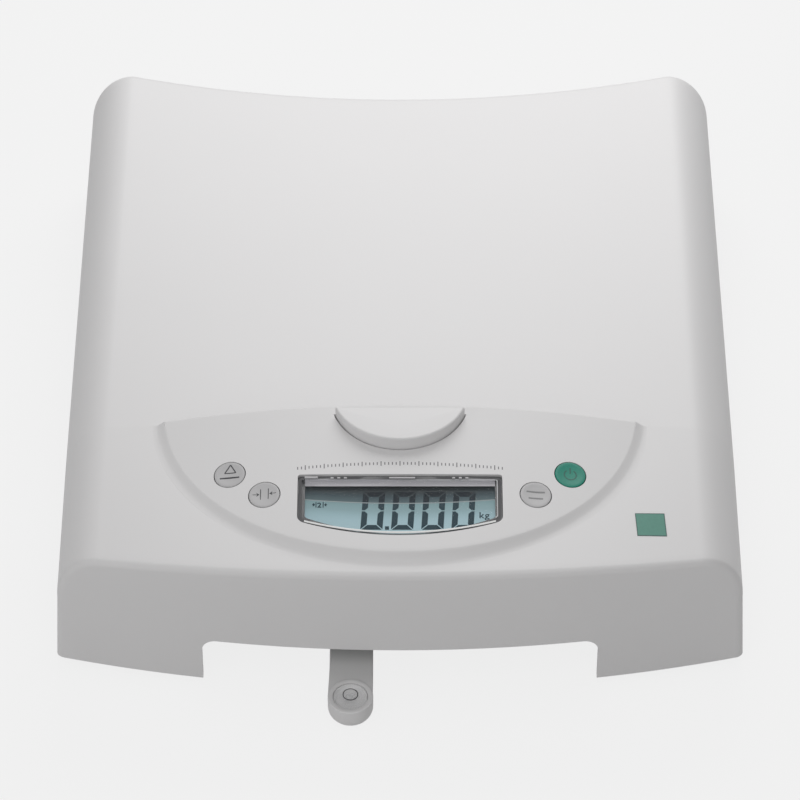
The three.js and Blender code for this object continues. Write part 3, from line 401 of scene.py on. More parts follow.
for far_y in (FRONT_Y, BACK_Y):
    gap = block("gap_cutter", (-GAP_HALF, far_y - 30, -10), (GAP_HALF, far_y + 30, GAP_TOP))
    bevel_edges(gap, lambda a, b: min(a.z, b.z) > 0 and abs(a.x - b.x) < 1, GAP_RADIUS, 8)
    cut_away(shell, gap)
shell_paint = moulded_plastic("shell_plastic", SHELL_PAINT)

# Raised control panel: part of the same moulding. A crowned top slopes down to the front inside
# an elliptic outline, with a sloping wall that runs out into the shell in a soft fillet.
PANEL_CREST = 88.7
PANEL_SLOPE = 0.1065
PANEL_CROWN = 495.0
PANEL_HALF_WIDTH, PANEL_REACH = 101.0, 85.0
PANEL_CENTRE_BEHIND = 8.0
PANEL_WALL_RUN = 4.0
PANEL_FOOT_RUN = 2.4
PANEL_EDGE, PANEL_WALL = 0.8, 2.4
PANEL_STEPS = 180
PANEL_TOP_ROWS = 46
WALL_SHARES = ((0.1, 0.03), (0.2, 0.13), (0.35, 0.3), (0.5, 0.47), (0.65, 0.63), (0.8, 0.77),
               (0.92, 0.87))
FOOT_SHARES = ((0, 0.915), (0.25, 0.955), (0.5, 0.98), (0.75, 0.995), (1, 1))


def panel_top(x, y):
    return PANEL_CREST - PANEL_SLOPE * (CREASE_Y - y) - x * x / (2 * PANEL_CROWN)


def panel_outline(grow, share):
    """A point of the elliptic outline, from its left end at the crease to its right end."""
    a, b = PANEL_HALF_WIDTH + grow, PANEL_REACH + grow
    start = math.asin(PANEL_CENTRE_BEHIND / b)
    turn = lerp(start, math.pi - start, share)
    return -a * math.cos(turn), CREASE_Y + PANEL_CENTRE_BEHIND - b * math.sin(turn)


def panel_ring(share):
    """The panel's profile at one place of its outline: back wall, top, edge, wall and foot."""
    top_x, top_y = panel_outline(0, share)
    foot_x, foot_y = panel_outline(PANEL_WALL_RUN, share)
    end_x, end_y = panel_outline(PANEL_WALL_RUN + PANEL_FOOT_RUN, share)
    back_top = panel_top(top_x, CREASE_Y)
    back_low = min(shell_top(top_x, CREASE_Y) - 0.5, back_top)
    ring = [(top_x, CREASE_Y, lerp(back_low, back_top - PANEL_EDGE, step / 4)) for step in range(5)]
    for run, fall in quarter(4)[1:4]:
        ring.append((top_x, CREASE_Y - PANEL_EDGE * run, back_top - PANEL_EDGE * fall))
    start_y = max(top_y, CREASE_Y - PANEL_EDGE)
    for step in range(PANEL_TOP_ROWS + 1):
        y = lerp(CREASE_Y - PANEL_EDGE, top_y, step / PANEL_TOP_ROWS) if top_y < start_y else start_y
        ring.append((top_x, y, panel_top(top_x, y)))
    high = panel_top(top_x, top_y)
    low = shell_top(foot_x, foot_y)
    for run, fall in WALL_SHARES:
        x, y = lerp(top_x, foot_x, run), lerp(top_y, foot_y, run)
        ring.append((x, min(y, CREASE_Y), lerp(high, low, fall)))
    for run, fall in FOOT_SHARES:
        x, y = lerp(foot_x, end_x, run), lerp(foot_y, end_y, run)
        ground = shell_top(x, y)
        ring.append((x, min(y, CREASE_Y), lerp(high, ground, fall) - 0.05 * run))
    ring.append((end_x, min(end_y, CREASE_Y), shell_top(end_x, end_y) - 1.5))
    return ring


panel_rings = [panel_ring(step / PANEL_STEPS) for step in range(PANEL_STEPS + 1)]
panel = grid_piece("control_panel", panel_rings)
merge_doubles(panel)

# The panel's openings, for the display, the release button and the keys, are cut in its own
# tilted plane. The shell's top runs on under the panel.
PANEL_TILT = math.atan(PANEL_SLOPE)


def at(x, y, z=0.0):
    """The matrix that moves a piece to a place, in millimetres."""
    return Matrix.Translation(Vector((x, y, z)) * MM)


PANEL_FRAME = at(0, CREASE_Y, PANEL_CREST) @ Matrix.Rotation(PANEL_TILT, 4, "X")
WINDOW_HALF, WINDOW_TOP, WINDOW_SIDE, WINDOW_MIDDLE = 43.1, 37.3, 60.6, 68.8
WINDOW_UPPER_CORNER, WINDOW_LOWER_CORNER, WINDOW_TOP_BEND = 1.4, 3.0, 1.1
BUTTON_RADIUS, BUTTON_CENTRE_BEHIND, BUTTON_BACK, BUTTON_PLAY = 29.2, 4.9, 5.0, 0.6
BUTTON_REACH = 0.975
WINDOW_CUT, KEY_CUT, BUTTON_CUT = (-12, 6), (-8, 6), (70, 99)
BUTTON_FRAME = at(0, CREASE_Y + BUTTON_CENTRE_BEHIND)
KEY_RADIUS, KEY_PLAY = 6.55, 0.35
KEYS = {
    "left_outer_key": (-72.0, 33.7),
    "left_inner_key": (-57.1, 45.8),
    "right_inner_key": (57.1, 45.8),
    "right_outer_key": (72.0, 33.7),
}


def key_frame(x, forward):
    """The tangent frame of the panel's crowned surface at a key."""
    place = at(x, -forward, -x * x / (2 * PANEL_CROWN))
    return PANEL_FRAME @ place @ Matrix.Rotation(x / PANEL_CROWN, 4, "Y")


def closed_loop(name, points, fill):
    """A circle primitive with its points moved onto a closed line of (x, y, z)."""
    bpy.ops.object.select_all(action="DESELECT")
    bpy.ops.mesh.primitive_circle_add(vertices=len(points), radius=1, fill_type=fill)
    piece = bpy.context.active_object
    piece.name = name
    for vertex, point in zip(piece.data.vertices, points):
        vertex.co = Vector(point) * MM
    return piece


def prism(name, outline, low, high, place=Matrix.Identity(4)):
    """An upright prism on a closed outline, in millimetres, moved by a placing matrix."""
    piece = closed_loop(name, [(x, y, low) for x, y in outline], "NGON")
    bpy.ops.object.mode_set(mode="EDIT")
    bpy.ops.mesh.select_all(action="SELECT")
    bpy.ops.mesh.extrude_region_move(TRANSFORM_OT_translate={"value": (0, 0, (high - low) * MM)})
    bpy.ops.mesh.select_all(action="SELECT")
    bpy.ops.mesh.normals_make_consistent(inside=False)
    bpy.ops.object.mode_set(mode="OBJECT")
    piece.data.transform(place)
    return piece


def circle(radius, count=72):
    turns = [2 * math.pi * step / count for step in range(count)]
    return [(radius * math.cos(turn), radius * math.sin(turn)) for turn in turns]


def quadratic(a, b, c, count):
    """Points after the first one of a curve from a to c that is drawn towards b."""
    points = []
    for step in range(1, count + 1):
        t = step / count
        points.append(tuple((1 - t) ** 2 * p + 2 * t * (1 - t) * q + t * t * r
                            for p, q, r in zip(a, b, c)))
    return points


def window_outline(grow):
    """The display's outline: its bottom edge is curved like the panel, and its top edge a little
    at the panel's surface, less and less further in."""
    w, back = WINDOW_HALF + grow, grow * 0.8 - WINDOW_TOP
    rise = WINDOW_TOP_BEND * min(1, max(0, 1 + grow / 1.7))
    top = back + rise
    side, middle = -WINDOW_SIDE - grow, -WINDOW_MIDDLE - grow
    high, low = max(0.5, WINDOW_UPPER_CORNER + grow * 0.5), max(1.2, WINDOW_LOWER_CORNER + grow)
    bend = side - (side - middle) * 2 * low / w
    along = [lerp(w - high, high - w, step / 24) for step in range(25)]
    points = [(x, back + rise * (x / (w - high)) ** 2) for x in along]
    points += quadratic((high - w, top), (-w, top), (-w, top - high), 6)
    points += [(-w, lerp(top - high, side + low, step / 6)) for step in range(1, 7)]
    points += quadratic((-w, side + low), (-w, side), (low - w, bend), 8)
    points += quadratic((low - w, bend), (0, 2 * middle - side), (w - low, bend), 40)
    points += quadratic((w - low, bend), (w, side), (w, side + low), 8)
    points += [(w, lerp(side + low, top - high, step / 6)) for step in range(1, 7)]
    points += quadratic((w, top - high), (w, top), (w - high, top), 6)[:-1]
    return points


def button_outline(grow, back_grow, count=96):
    """The release button's outline: a segment of a circle, flat at the back."""
    radius = BUTTON_RADIUS + grow
    start = math.asin((BUTTON_CENTRE_BEHIND + BUTTON_BACK - back_grow) / radius)
    turns = [lerp(math.pi + start, 2 * math.pi - start, step / count) for step in range(count + 1)]
    flat = -BUTTON_CENTRE_BEHIND - BUTTON_BACK
    return [(radius * math.cos(turn), lerp(flat, radius * math.sin(turn), BUTTON_REACH))
            for turn in turns]


apply_modifier(panel, "SOLIDIFY", thickness=PANEL_WALL * MM, offset=-1, use_even_offset=False)
cut_away(panel, prism("window_cutter", window_outline(0), *WINDOW_CUT, PANEL_FRAME))
button_hole = button_outline(BUTTON_PLAY, BUTTON_PLAY)
cut_away(panel, prism("button_cutter", button_hole, *BUTTON_CUT, BUTTON_FRAME))
for key_x, key_forward in KEYS.values():
    key_hole = circle(KEY_RADIUS + KEY_PLAY)
    cut_away(panel, prism("key_cutter", key_hole, *KEY_CUT, key_frame(key_x, key_forward)))
smooth(shell, 30)
smooth(panel, 30)
finish(shell, shell_paint, "platform", "shell_white", "top_shell")
finish(panel, shell_paint, "platform", "shell_white")

# Display frame: a dark glossy moulding set into the window. Its narrow rim follows the crowned
# panel, its wall slopes in to the lens, and a ledge under the lens holds the glass.
RIM_PLAY, RIM_FLAT, FRAME_WALL = 0.3, 0.3, 1.4
LENS_TOP, LEDGE_TOP, LEDGE_BOTTOM = -1.9, -3.6, -4.4
DISPLAY_RIM = (0.13, 0.13, 0.135)


def crown(x):
    """Height of the crowned panel above its own tilted plane."""
    return -x * x / (2 * PANEL_CROWN)


def rim_sink(y):
    """How deep the rim lies under the panel's surface: flush in front, sunk at the back."""
    return lerp(0.4, 1.15, min(1, max(0, (y + WINDOW_MIDDLE) / (WINDOW_MIDDLE - WINDOW_TOP))))


def skin(name, rows, place):
    """A piece through closed rows of points, moved by a placing matrix."""
    piece = grid_piece(name, rows)
    merge_doubles(piece)
    piece.data.transform(place)
    return piece


def ring_piece(name, profile, outline):
    """A ring along an outline. Its profile gives growths and heights, in the panel's plane."""
    rows = []
    for grow, height in profile + profile[:1]:
        points = outline(grow)
        row = [(x, y, crown(x) - rim_sink(y) if height is None else height) for x, y in points]
        rows.append(row + row[:1])
    return skin(name, rows, PANEL_FRAME)


frame_in = -RIM_PLAY - FRAME_WALL
display_frame = ring_piece("display_frame", [
    (-RIM_PLAY, LEDGE_BOTTOM), (-RIM_PLAY, None), (-RIM_PLAY - RIM_FLAT, None),
    (frame_in, LENS_TOP - 0.05), (frame_in, LEDGE_TOP), (frame_in - FRAME_WALL, LEDGE_TOP),
    (frame_in - FRAME_WALL, LEDGE_BOTTOM),
], window_outline)
smooth(display_frame, 30)
rim_plastic = moulded_plastic("display_rim_plastic", DISPLAY_RIM, 0.2, 0.05, 0.2)
finish(display_frame, rim_plastic, "platform", "foot_plastic", "display_bezel")

# Painted reflections: small pale blocks in the frame's upper wall that stand in for the bright streaks of
# reflected light there.
FRAME_GLINT_PLACES = [(-37.4, 5.6, 0.8), (0.9, 11.0, 0.55), (-28.6, 1.3, 0.35), (-25.8, 1.3, 0.35),
              (-23.0, 1.3, 0.35), (22.6, 1.3, 0.35), (25.4, 1.3, 0.35), (28.2, 1.3, 0.35)]
FRAME_GLINT_HALF = 0.3
FRAME_GLINT_BACK, FRAME_GLINT_LIFT, FRAME_GLINT_EDGE = 0.45, 0.45, 0.12
glint_y = -WINDOW_TOP - RIM_PLAY - RIM_FLAT - FRAME_GLINT_BACK
glint_z = LENS_TOP + FRAME_GLINT_LIFT
frame_glint_paint = moulded_plastic("frame_glint_paint", (0.60, 0.59, 0.60), 0.3, 0.1)
for number, (glint_x, glint_length, glint_height) in enumerate(FRAME_GLINT_PLACES, 1):
    glint = block(f"painted_frame_glint_{number}", (glint_x - glint_length / 2, glint_y - FRAME_GLINT_HALF, glint_z),
                (glint_x + glint_length / 2, glint_y + FRAME_GLINT_HALF, glint_z + glint_height))
    bevel_edges(glint, lambda a, b: True, FRAME_GLINT_EDGE, 2)
    glint.data.transform(PANEL_FRAME)
    finish(glint, frame_glint_paint, "platform", "shell_white")

# Lens: a clear moulded pane on the frame's ledge. A grey strip along its edge at the right side and top
# right is a painted highlight, and a pale lip along the bottom curve of the window is partly a pale rim
# and partly a painted highlight.
LENS_PLAY, LENS_BOTTOM = 0.3, -3.3


def tone_ramp(tree, share, stops, interpolation="LINEAR"):
    """A colour that follows a share from 0 to 1 through stops of (share, colour)."""
    part = tree.nodes.new("ShaderNodeValToRGB")
    part.color_ramp.interpolation = interpolation
    elements = part.color_ramp.elements
    elements.remove(elements[1])
    for index, (position, tone) in enumerate(stops):
        stop = elements[0] if index == 0 else elements.new(position)
        stop.position = position
        stop.color = (*tone, 1)
    feed(tree, part, {"Fac": share})
    return part.outputs["Color"]


def clear_plastic(name, tint, alpha, roughness=0.06):
    """Clear plastic that lets the piece below show, with a faint unevenness in its tint."""
    material, tree, shader = new_material(name)
    haze = add(tree, "TexNoise", {"Vector": surface_place(tree), "Scale": 90})
    tones = [(0, tint), (1, [channel * 0.92 for channel in tint])]
    feed(tree, shader, {"Base Color": tone_ramp(tree, haze, tones), "Roughness": roughness,
                        "Specular IOR Level": 0.3, "Alpha": alpha})
    return material


lens_outline = window_outline(frame_in - LENS_PLAY)
lens = prism("lens_pane", lens_outline, LENS_BOTTOM, LENS_TOP, PANEL_FRAME)
lens_plastic = clear_plastic("lens_plastic", (0.55, 0.6, 0.61), 0.02)
finish(lens, lens_plastic, "platform", "clear_plastic", "display_lens")
edge_highlight_paint = moulded_plastic("painted_edge_highlight", (0.47, 0.48, 0.49), 0.2, 0.05)
EDGE_WIDTH, EDGE_SHEET = 0.38, 0.08


def lofted(name, rings, place=Matrix.Identity(4)):
    """A closed form through rings of points, with a flat face over the first and last ring."""
    rows = [ring + ring[:1] for ring in rings]
    ends = []
    for ring in (rings[0], rings[-1]):
        middle = tuple(sum(point[axis] for point in ring) / len(ring) for axis in range(3))
        ends.append([middle] * len(rows[0]))
    return skin(name, [ends[0]] + rows + [ends[1]], place)


# A grey strip along the lens's edge at the right side and top right: a painted highlight.
edge_lines = [window_outline(frame_in - LENS_PLAY - inset) for inset in (0, EDGE_WIDTH)]
edge_rings = []
for outer, inner in zip(*(line[-19:] + line[:13] for line in edge_lines)):
    edge_rings.append([(*outer, LENS_TOP), (*outer, LENS_TOP + EDGE_SHEET),
                       (*inner, LENS_TOP + EDGE_SHEET), (*inner, LENS_TOP)])
lens_edge = lofted("lens_edge", edge_rings, PANEL_FRAME)
finish(lens_edge, edge_highlight_paint, "platform", "clear_plastic")
# The pale lip along the window's bottom curve: partly a pale plastic rim, partly a painted highlight of
# that edge.
lip_and_highlight_paint = moulded_plastic("lip_and_highlight_paint", (0.76, 0.765, 0.76), 0.3, 0.05)
LIP_OUT, LIP_IN, LIP_STEPS = 0.45, 1.6, 60
lip_rows = []
for lip_inset, lip_sink in ((LIP_OUT, 0.02), (LIP_OUT + 0.3, -0.03), (LIP_IN - 0.2, 0.03), (LIP_IN, 0.3),
                            (LIP_IN, 1.2), (LIP_OUT + 0.3, 0.5), (LIP_OUT, 0.02)):
    side, middle = lip_inset - WINDOW_SIDE, lip_inset - WINDOW_MIDDLE
    row = []
    for step in range(LIP_STEPS + 1):
        share = 2 * step / LIP_STEPS - 1
        x = (WINDOW_HALF - WINDOW_LOWER_CORNER) * share
        y = middle + (side - middle) * (x / WINDOW_HALF) ** 2
        row.append((x, y, max(crown(x) - lip_sink, LENS_TOP + 0.02)))
    lip_rows.append(row)
lip = skin("lens_lip", lip_rows, PANEL_FRAME)
smooth(lip, 40)
finish(lip, lip_and_highlight_paint, "platform", "clear_plastic")

# Mask: a thin grey strip, bent down along the frame's upper wall, that covers the contacts at
# the top of the liquid-crystal glass.
MASK_HALF, MASK_BACK, MASK_FRONT = 40.0, -38.7, -41.2
MASK_LEVEL, MASK_SHEET = -3.42, 0.1
mask_profile = [(MASK_BACK, LENS_TOP - 0.02), (MASK_BACK, MASK_LEVEL), (MASK_FRONT, MASK_LEVEL),
                (MASK_FRONT, MASK_LEVEL + MASK_SHEET), (MASK_BACK - MASK_SHEET, MASK_LEVEL + MASK_SHEET),
                (MASK_BACK - MASK_SHEET, LENS_TOP - 0.02)]
mask_rows = [[(lerp(-MASK_HALF, MASK_HALF, step / 40), y, z) for step in range(41)]
             for y, z in mask_profile + mask_profile[:1]]
mask = skin("display_mask", mask_rows, PANEL_FRAME)
mask_plastic = moulded_plastic("mask_plastic", (0.55, 0.54, 0.57), 0.35, 0.1, 0.15)
finish(mask, mask_plastic, "platform", "key_grey")

# Liquid-crystal glass: the imported plate. Its colour carries painted light: painted shade of the window
# darkens the top, a painted reflection makes a bright curved line, and below it the blue-green grows a
# little paler towards the bottom.
LCD_TOP, LCD_FRONT, LCD_BACK = -4.7, -65.8, -40.3
REFLECTION_LINE_MIDDLE, REFLECTION_LINE_CURVE = -49.3, 1.24
LCD_PAINTED_LIGHT_TONES = [
    (LCD_FRONT, (0.47, 0.65, 0.70)), (-62.5, (0.44, 0.62, 0.675)), (-58.5, (0.40, 0.57, 0.625)),
    (-56.0, (0.345, 0.505, 0.55)), (-53.5, (0.285, 0.42, 0.45)), (-49.6, (0.235, 0.365, 0.385)),
    (-49.2, (0.10, 0.15, 0.165)), (-46.0, (0.048, 0.076, 0.089)), (-43.5, (0.036, 0.047, 0.053)),
    (LCD_BACK, (0.022, 0.023, 0.026)),
]
# The figures' dark ink carries the same painted shade: darker still above the curved line at the top of
# the glass.
FIGURE_PAINTED_SHADE_TONES = [(LCD_FRONT, (0.026, 0.056, 0.072)), (-49.6, (0.024, 0.050, 0.064)),
                (-49.2, (0.015, 0.024, 0.033)), (LCD_BACK, (0.010, 0.013, 0.018))]


def world_y(panel_y, panel_z):
    """Where a point of the panel's plane lies along Y, in metres."""
    return (CREASE_Y + panel_y * math.cos(PANEL_TILT) - panel_z * math.sin(PANEL_TILT)) * MM


def painted_light_glass(name, tones, gloss):
    """Painted shade and a painted reflection line: tones that change along the glass, over curved lines
    like the shade of the window.
    """
    material, tree, shader = new_material(name)
    place = surface_place(tree)
    x, y = (add(tree, "SeparateXYZ", {0: place}, axis) for axis in "XY")
    square = arith(tree, "MULTIPLY", x, x)
    curve = arith(tree, "MULTIPLY_ADD", square, -REFLECTION_LINE_CURVE, y)
    along = add(tree, "MapRange", {"Value": curve, "From Min": world_y(LCD_FRONT, LCD_TOP),
                                   "From Max": world_y(LCD_BACK, LCD_TOP)})
    stops = [((line - LCD_FRONT) / (LCD_BACK - LCD_FRONT), tone) for line, tone in tones]
    feed(tree, shader, {"Base Color": tone_ramp(tree, along, stops), "Roughness": 0.35,
                        "Specular IOR Level": gloss})
    return material


def dress(material, *names):
    """Gives carried-over CAD nodes a material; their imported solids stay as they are."""
    for name in names:
        nodes[name].data.materials.clear()
        nodes[name].data.materials.append(material)


dress(painted_light_glass("liquid_crystal_painted_light", LCD_PAINTED_LIGHT_TONES, 0.15), "lcd_glass")

# Painted reflection: a thin pale strip just in front of the glass, along a curved line over the figures,
# standing in for a fine line of reflected light.
GLINT_LEVEL, GLINT_SHEET, GLINT_WIDTH, GLINT_HALF, GLINT_STEPS = -4.62, 0.02, 0.42, 39.9, 40
glint_rings = []
for step in range(GLINT_STEPS + 1):
    x = lerp(-GLINT_HALF, GLINT_HALF, step / GLINT_STEPS)
    y = REFLECTION_LINE_MIDDLE + REFLECTION_LINE_CURVE * x * x * MM
    glint_rings.append([(x, y + side * GLINT_WIDTH / 2, GLINT_LEVEL + level)
                       for side, level in ((-1, 0), (-1, GLINT_SHEET), (1, GLINT_SHEET), (1, 0))])
painted_glint_strip = lofted("painted_reflection_line", glint_rings, PANEL_FRAME)
glint_paint = clear_plastic("painted_glint_plastic", (0.48, 0.55, 0.57), 0.72, 0.3)
finish(painted_glint_strip, glint_paint, "platform", "clear_plastic")

# Digits and signs of the display: dark segments in the glass, "0.000" with its unit and a small
# range mark at the left. Seven-segment figures lean a little to the right.
DIGIT_LEFTS = (-16.65, -3.8, 8.85, 21.45)
DIGIT_BOTTOM, DIGIT_HEIGHT, DIGIT_WIDTH = -63.1, 19.85, 9.3
SEGMENT, SEGMENT_GAP, DIGIT_LEAN = 2.5, 0.3, 0.06
SIGN_LIFT, SIGN_SHEET = 0.02, 0.03


def zero_segments():
    """The six lit segments of a nought, as outlines from its bottom left corner."""
    w, h, t, g = DIGIT_WIDTH, DIGIT_HEIGHT, SEGMENT, SEGMENT_GAP
    m = h / 2
    top = [(g, h), (w - g, h), (w - t - g, h - t), (t + g, h - t)]
    upper = [(0, m + g), (t / 2, m + g), (t, m + t / 2 + g), (t, h - t - g), (0, h - g)]
    halves = [top, upper, [(w - x, y) for x, y in upper]]
    return halves + [[(x, h - y) for x, y in outline] for outline in halves]


def join(name, pieces):
    """Joins pieces into one, as one object."""
    bpy.ops.object.select_all(action="DESELECT")
    for piece in pieces:
        piece.select_set(True)
    bpy.context.view_layer.objects.active = pieces[0]
    bpy.ops.object.join()
    pieces[0].name = name
    return pieces[0]


def lcd_mark(outline):
    """A flat dark mark in the glass, on an outline in the panel's plane."""
    low = LCD_TOP + SIGN_LIFT
    return prism("lcd_mark", outline, low, low + SIGN_SHEET, PANEL_FRAME)


figures = []
for left in DIGIT_LEFTS:
    for outline in zero_segments():
        figures.append(lcd_mark([(left + x + y * DIGIT_LEAN, DIGIT_BOTTOM + y) for x, y in outline]))
POINT_LEFT, POINT_WIDTH, POINT_HEIGHT = -6.3, 1.7, 1.8
point = [(0, 0), (POINT_WIDTH, 0), (POINT_WIDTH, POINT_HEIGHT), (0, POINT_HEIGHT)]
figures.append(lcd_mark([(POINT_LEFT + x, DIGIT_BOTTOM + y) for x, y in point]))


def lettering(text, left, bottom, height, weight):
    """A short plain sign of the glass from the built-in font, as a thin mesh at its place."""
    bpy.ops.object.select_all(action="DESELECT")
    bpy.ops.object.text_add()
    sign = bpy.context.active_object
    sign.data.body = text
    sign.data.size = height * 1.38 * MM
    sign.data.offset = weight * MM
    sign.data.space_character = 1.12
    sign.data.extrude = SIGN_SHEET / 2 * MM
    bpy.ops.object.convert(target="MESH")
    sign = bpy.context.active_object
    sign.data.transform(PANEL_FRAME @ at(left, bottom, LCD_TOP + SIGN_LIFT))
    return sign


signs = [lettering("kg", 33.1, -57.05, 3.3, 0.06), lettering("2", -34.8, -51.4, 2.6, 0.1)]
RANGE_X, RANGE_Y = -33.8, -50.0
for side in (-1, 1):
    bar = [(1.3, -1.5), (1.7, -1.5), (1.7, 1.4), (1.3, 1.4)]
    head = [(1.8, 0.0), (2.8, 1.0), (2.8, -1.0)]
    shaft = [(2.7, -0.25), (3.1, -0.25), (3.1, 0.25), (2.7, 0.25)]
    for outline in (bar, head, shaft):
        signs.append(lcd_mark([(RANGE_X + side * x, RANGE_Y + y) for x, y in outline]))
display_figures = join("display_figures", figures + signs)
# The figures' ink is darker at the top: painted shade.
finish(display_figures, painted_light_glass("segment_ink_painted_shade", FIGURE_PAINTED_SHADE_TONES, 0.08), "platform", "lcd")

# Light block behind the glass: frosted clear plastic that spreads the light of the board's lamps.
block_plastic = moulded_plastic("frosted_block", (0.80, 0.82, 0.82), 0.6, 0.6, 0.06)
dress(block_plastic, "lcd_light_block")

# Keys: round dished caps in grey and green plastic, each with a flange that holds it under its
# hole in the panel. Their plain signs are printed on the dish.
KEY_PROUD, KEY_EDGE, KEY_RIM, KEY_DISH = 0.18, 0.35, 1.2, 0.3
KEY_FLANGE, KEY_UNDER, KEY_FOOT = 8.5, -3.3, -4.8
KEY_PAINTS = {"grey": (0.485, 0.48, 0.485), "green": (0.014, 0.232, 0.166)}
PRINT_LIFT, PRINT_SHEET, PRINT_STEP = 0.02, 0.1, 0.8


def turned(name, profile, place=Matrix.Identity(4), sides=72):
    """A profile of radius and height, in millimetres, spun round its axis."""
    piece = closed_loop(name, [(r, 0, z) for r, z in profile], "NOTHING")
    bpy.ops.object.mode_set(mode="EDIT")
    bpy.ops.mesh.select_all(action="SELECT")
    bpy.ops.mesh.spin(steps=sides, angle=2 * math.pi, center=(0, 0, 0), axis=(0, 0, 1))
    bpy.ops.mesh.select_all(action="SELECT")
    bpy.ops.mesh.remove_doubles(threshold=0.001 * MM)
    bpy.ops.mesh.delete_loose()
    bpy.ops.mesh.select_all(action="SELECT")
    bpy.ops.mesh.normals_make_consistent(inside=False)
    bpy.ops.object.mode_set(mode="OBJECT")
    piece.data.transform(place)
    return piece


def key_surface(radius):
    """Height of a key's dished top."""
    return KEY_PROUD - KEY_DISH * (1 - min(1, radius / (KEY_RADIUS - KEY_RIM)) ** 2)


def key_profile():
    profile = [(0, KEY_FOOT), (KEY_FLANGE, KEY_FOOT), (KEY_FLANGE, KEY_UNDER), (KEY_RADIUS, KEY_UNDER)]
    profile += [(KEY_RADIUS - KEY_EDGE * run, KEY_PROUD - KEY_EDGE * fall) for run, fall in quarter(6)]
    for step in range(12, -1, -1):
        radius = (KEY_RADIUS - KEY_RIM) * step / 12
        profile.append((radius, key_surface(radius)))
    return profile


def stroke(x0, y0, x1, y1, width):
    """The outline of a straight line of a given width, with points along it."""
    run = Vector((x1 - x0, y1 - y0))
    across = Vector((-run.y, run.x)).normalized() * width / 2
    count = max(1, round(run.length / PRINT_STEP))
    line = [Vector((x0, y0)) + run * step / count for step in range(count + 1)]
    return [tuple(p + across) for p in line] + [tuple(p - across) for p in reversed(line)]


def printed(name, outlines, surface, place):
    """Thin print on a curved surface, whose height is given at each point."""
    marks = []
    for outline in outlines:
        mark = prism("mark", outline, 0, PRINT_SHEET)
        for vertex in mark.data.vertices:
            x, y, z = vertex.co / MM
            vertex.co.z = (surface(x, y) + PRINT_LIFT + z - PRINT_SHEET) * MM
        mark.data.transform(place)
        marks.append(mark)
    return join(name, marks)


def arc_strokes(radius, start, stop, width, count=14):
    """Short strokes along an arc, from one angle to another in degrees."""
    turns = [math.radians(lerp(start, stop, step / count)) for step in range(count + 1)]
    inner, outer = ([(reach * math.cos(turn), reach * math.sin(turn)) for turn in turns]
                    for reach in (radius - width / 2, radius + width / 2))
    return [inner + outer[::-1]]


KEY_SIGNS = {
    "left_outer_key": [stroke(-2.2, 0.9, 0.3, 5.1, 0.5), stroke(0.3, 5.1, 2.6, 0.9, 0.5),
                       stroke(-2.2, 0.9, 2.6, 0.9, 0.5), stroke(-4.2, -1.7, 4.2, -1.7, 0.75)],
    "left_inner_key": [stroke(-1.6, -2.4, -1.6, 3.0, 0.35), stroke(1.7, -2.2, 1.7, 3.2, 0.35),
                       stroke(-5.0, 0.3, -3.0, 0.3, 0.3), stroke(3.1, 0.6, 5.0, 0.6, 0.3),
                       [(-2.0, 0.3), (-3.4, 1.3), (-3.0, 0.3), (-3.4, -0.7)],
                       [(2.1, 0.6), (3.5, -0.4), (3.1, 0.6), (3.5, 1.6)]],
    "right_inner_key": [stroke(-3.9, 1.5, 3.9, 1.5, 0.8), stroke(-3.1, -1.9, 3.1, -1.9, 0.8)],
    "right_outer_key": [*arc_strokes(2.6, 125, 415, 0.6), stroke(0, 0.6, 0, 3.6, 0.6)],
}
SIGN_PAINTS = {
    "left_outer_key": (0.06, 0.06, 0.065),
    "left_inner_key": (0.06, 0.06, 0.065),
    "right_inner_key": (0.23, 0.23, 0.235),
    "right_outer_key": (0.03, 0.13, 0.10),
}
key_plastics = {tone: moulded_plastic(f"key_{tone}_plastic", paint, 0.4, 0.4, 0.06)
                for tone, paint in KEY_PAINTS.items()}
for name, (key_x, key_forward) in KEYS.items():
    tone = "green" if name == "right_outer_key" else "grey"
    place = key_frame(key_x, key_forward)
    key = turned(name + "_cap", key_profile(), place)
    smooth(key, 40)
    finish(key, key_plastics[tone], name, f"key_{tone}", name)
    sign = printed(name + "_sign", KEY_SIGNS[name], lambda x, y: key_surface(math.hypot(x, y)), place)
    ink = moulded_plastic(name + "_ink", SIGN_PAINTS[name], 0.5, 0.2, 0.2)
    finish(sign, ink, name, "foot_plastic")

# Row of fine tick marks above the display, printed on the panel in dark grey along a shallow arc.
TICK_HALF, TICK_COUNT, TICK_EVERY = 43.2, 55, 5
TICK_MIDDLE, TICK_END = -31.6, -32.8
TICK_SHORT, TICK_LONG, TICK_WIDTH = 1.4, 2.4, 0.42
ticks = []
for number in range(TICK_COUNT):
    share = 2 * number / (TICK_COUNT - 1) - 1
    x, y = TICK_HALF * share, TICK_MIDDLE + (TICK_END - TICK_MIDDLE) * share * share
    length = TICK_LONG if (number - TICK_COUNT // 2) % TICK_EVERY == 0 else TICK_SHORT
    ticks.append(stroke(x, y - length / 2, x, y + length / 2, TICK_WIDTH))
tick_row = printed("tick_row", ticks, lambda x, y: crown(x), PANEL_FRAME)
tick_ink = moulded_plastic("tick_ink", (0.16, 0.155, 0.165), 0.5, 0.2, 0.3)
finish(tick_row, tick_ink, "platform", "foot_plastic")

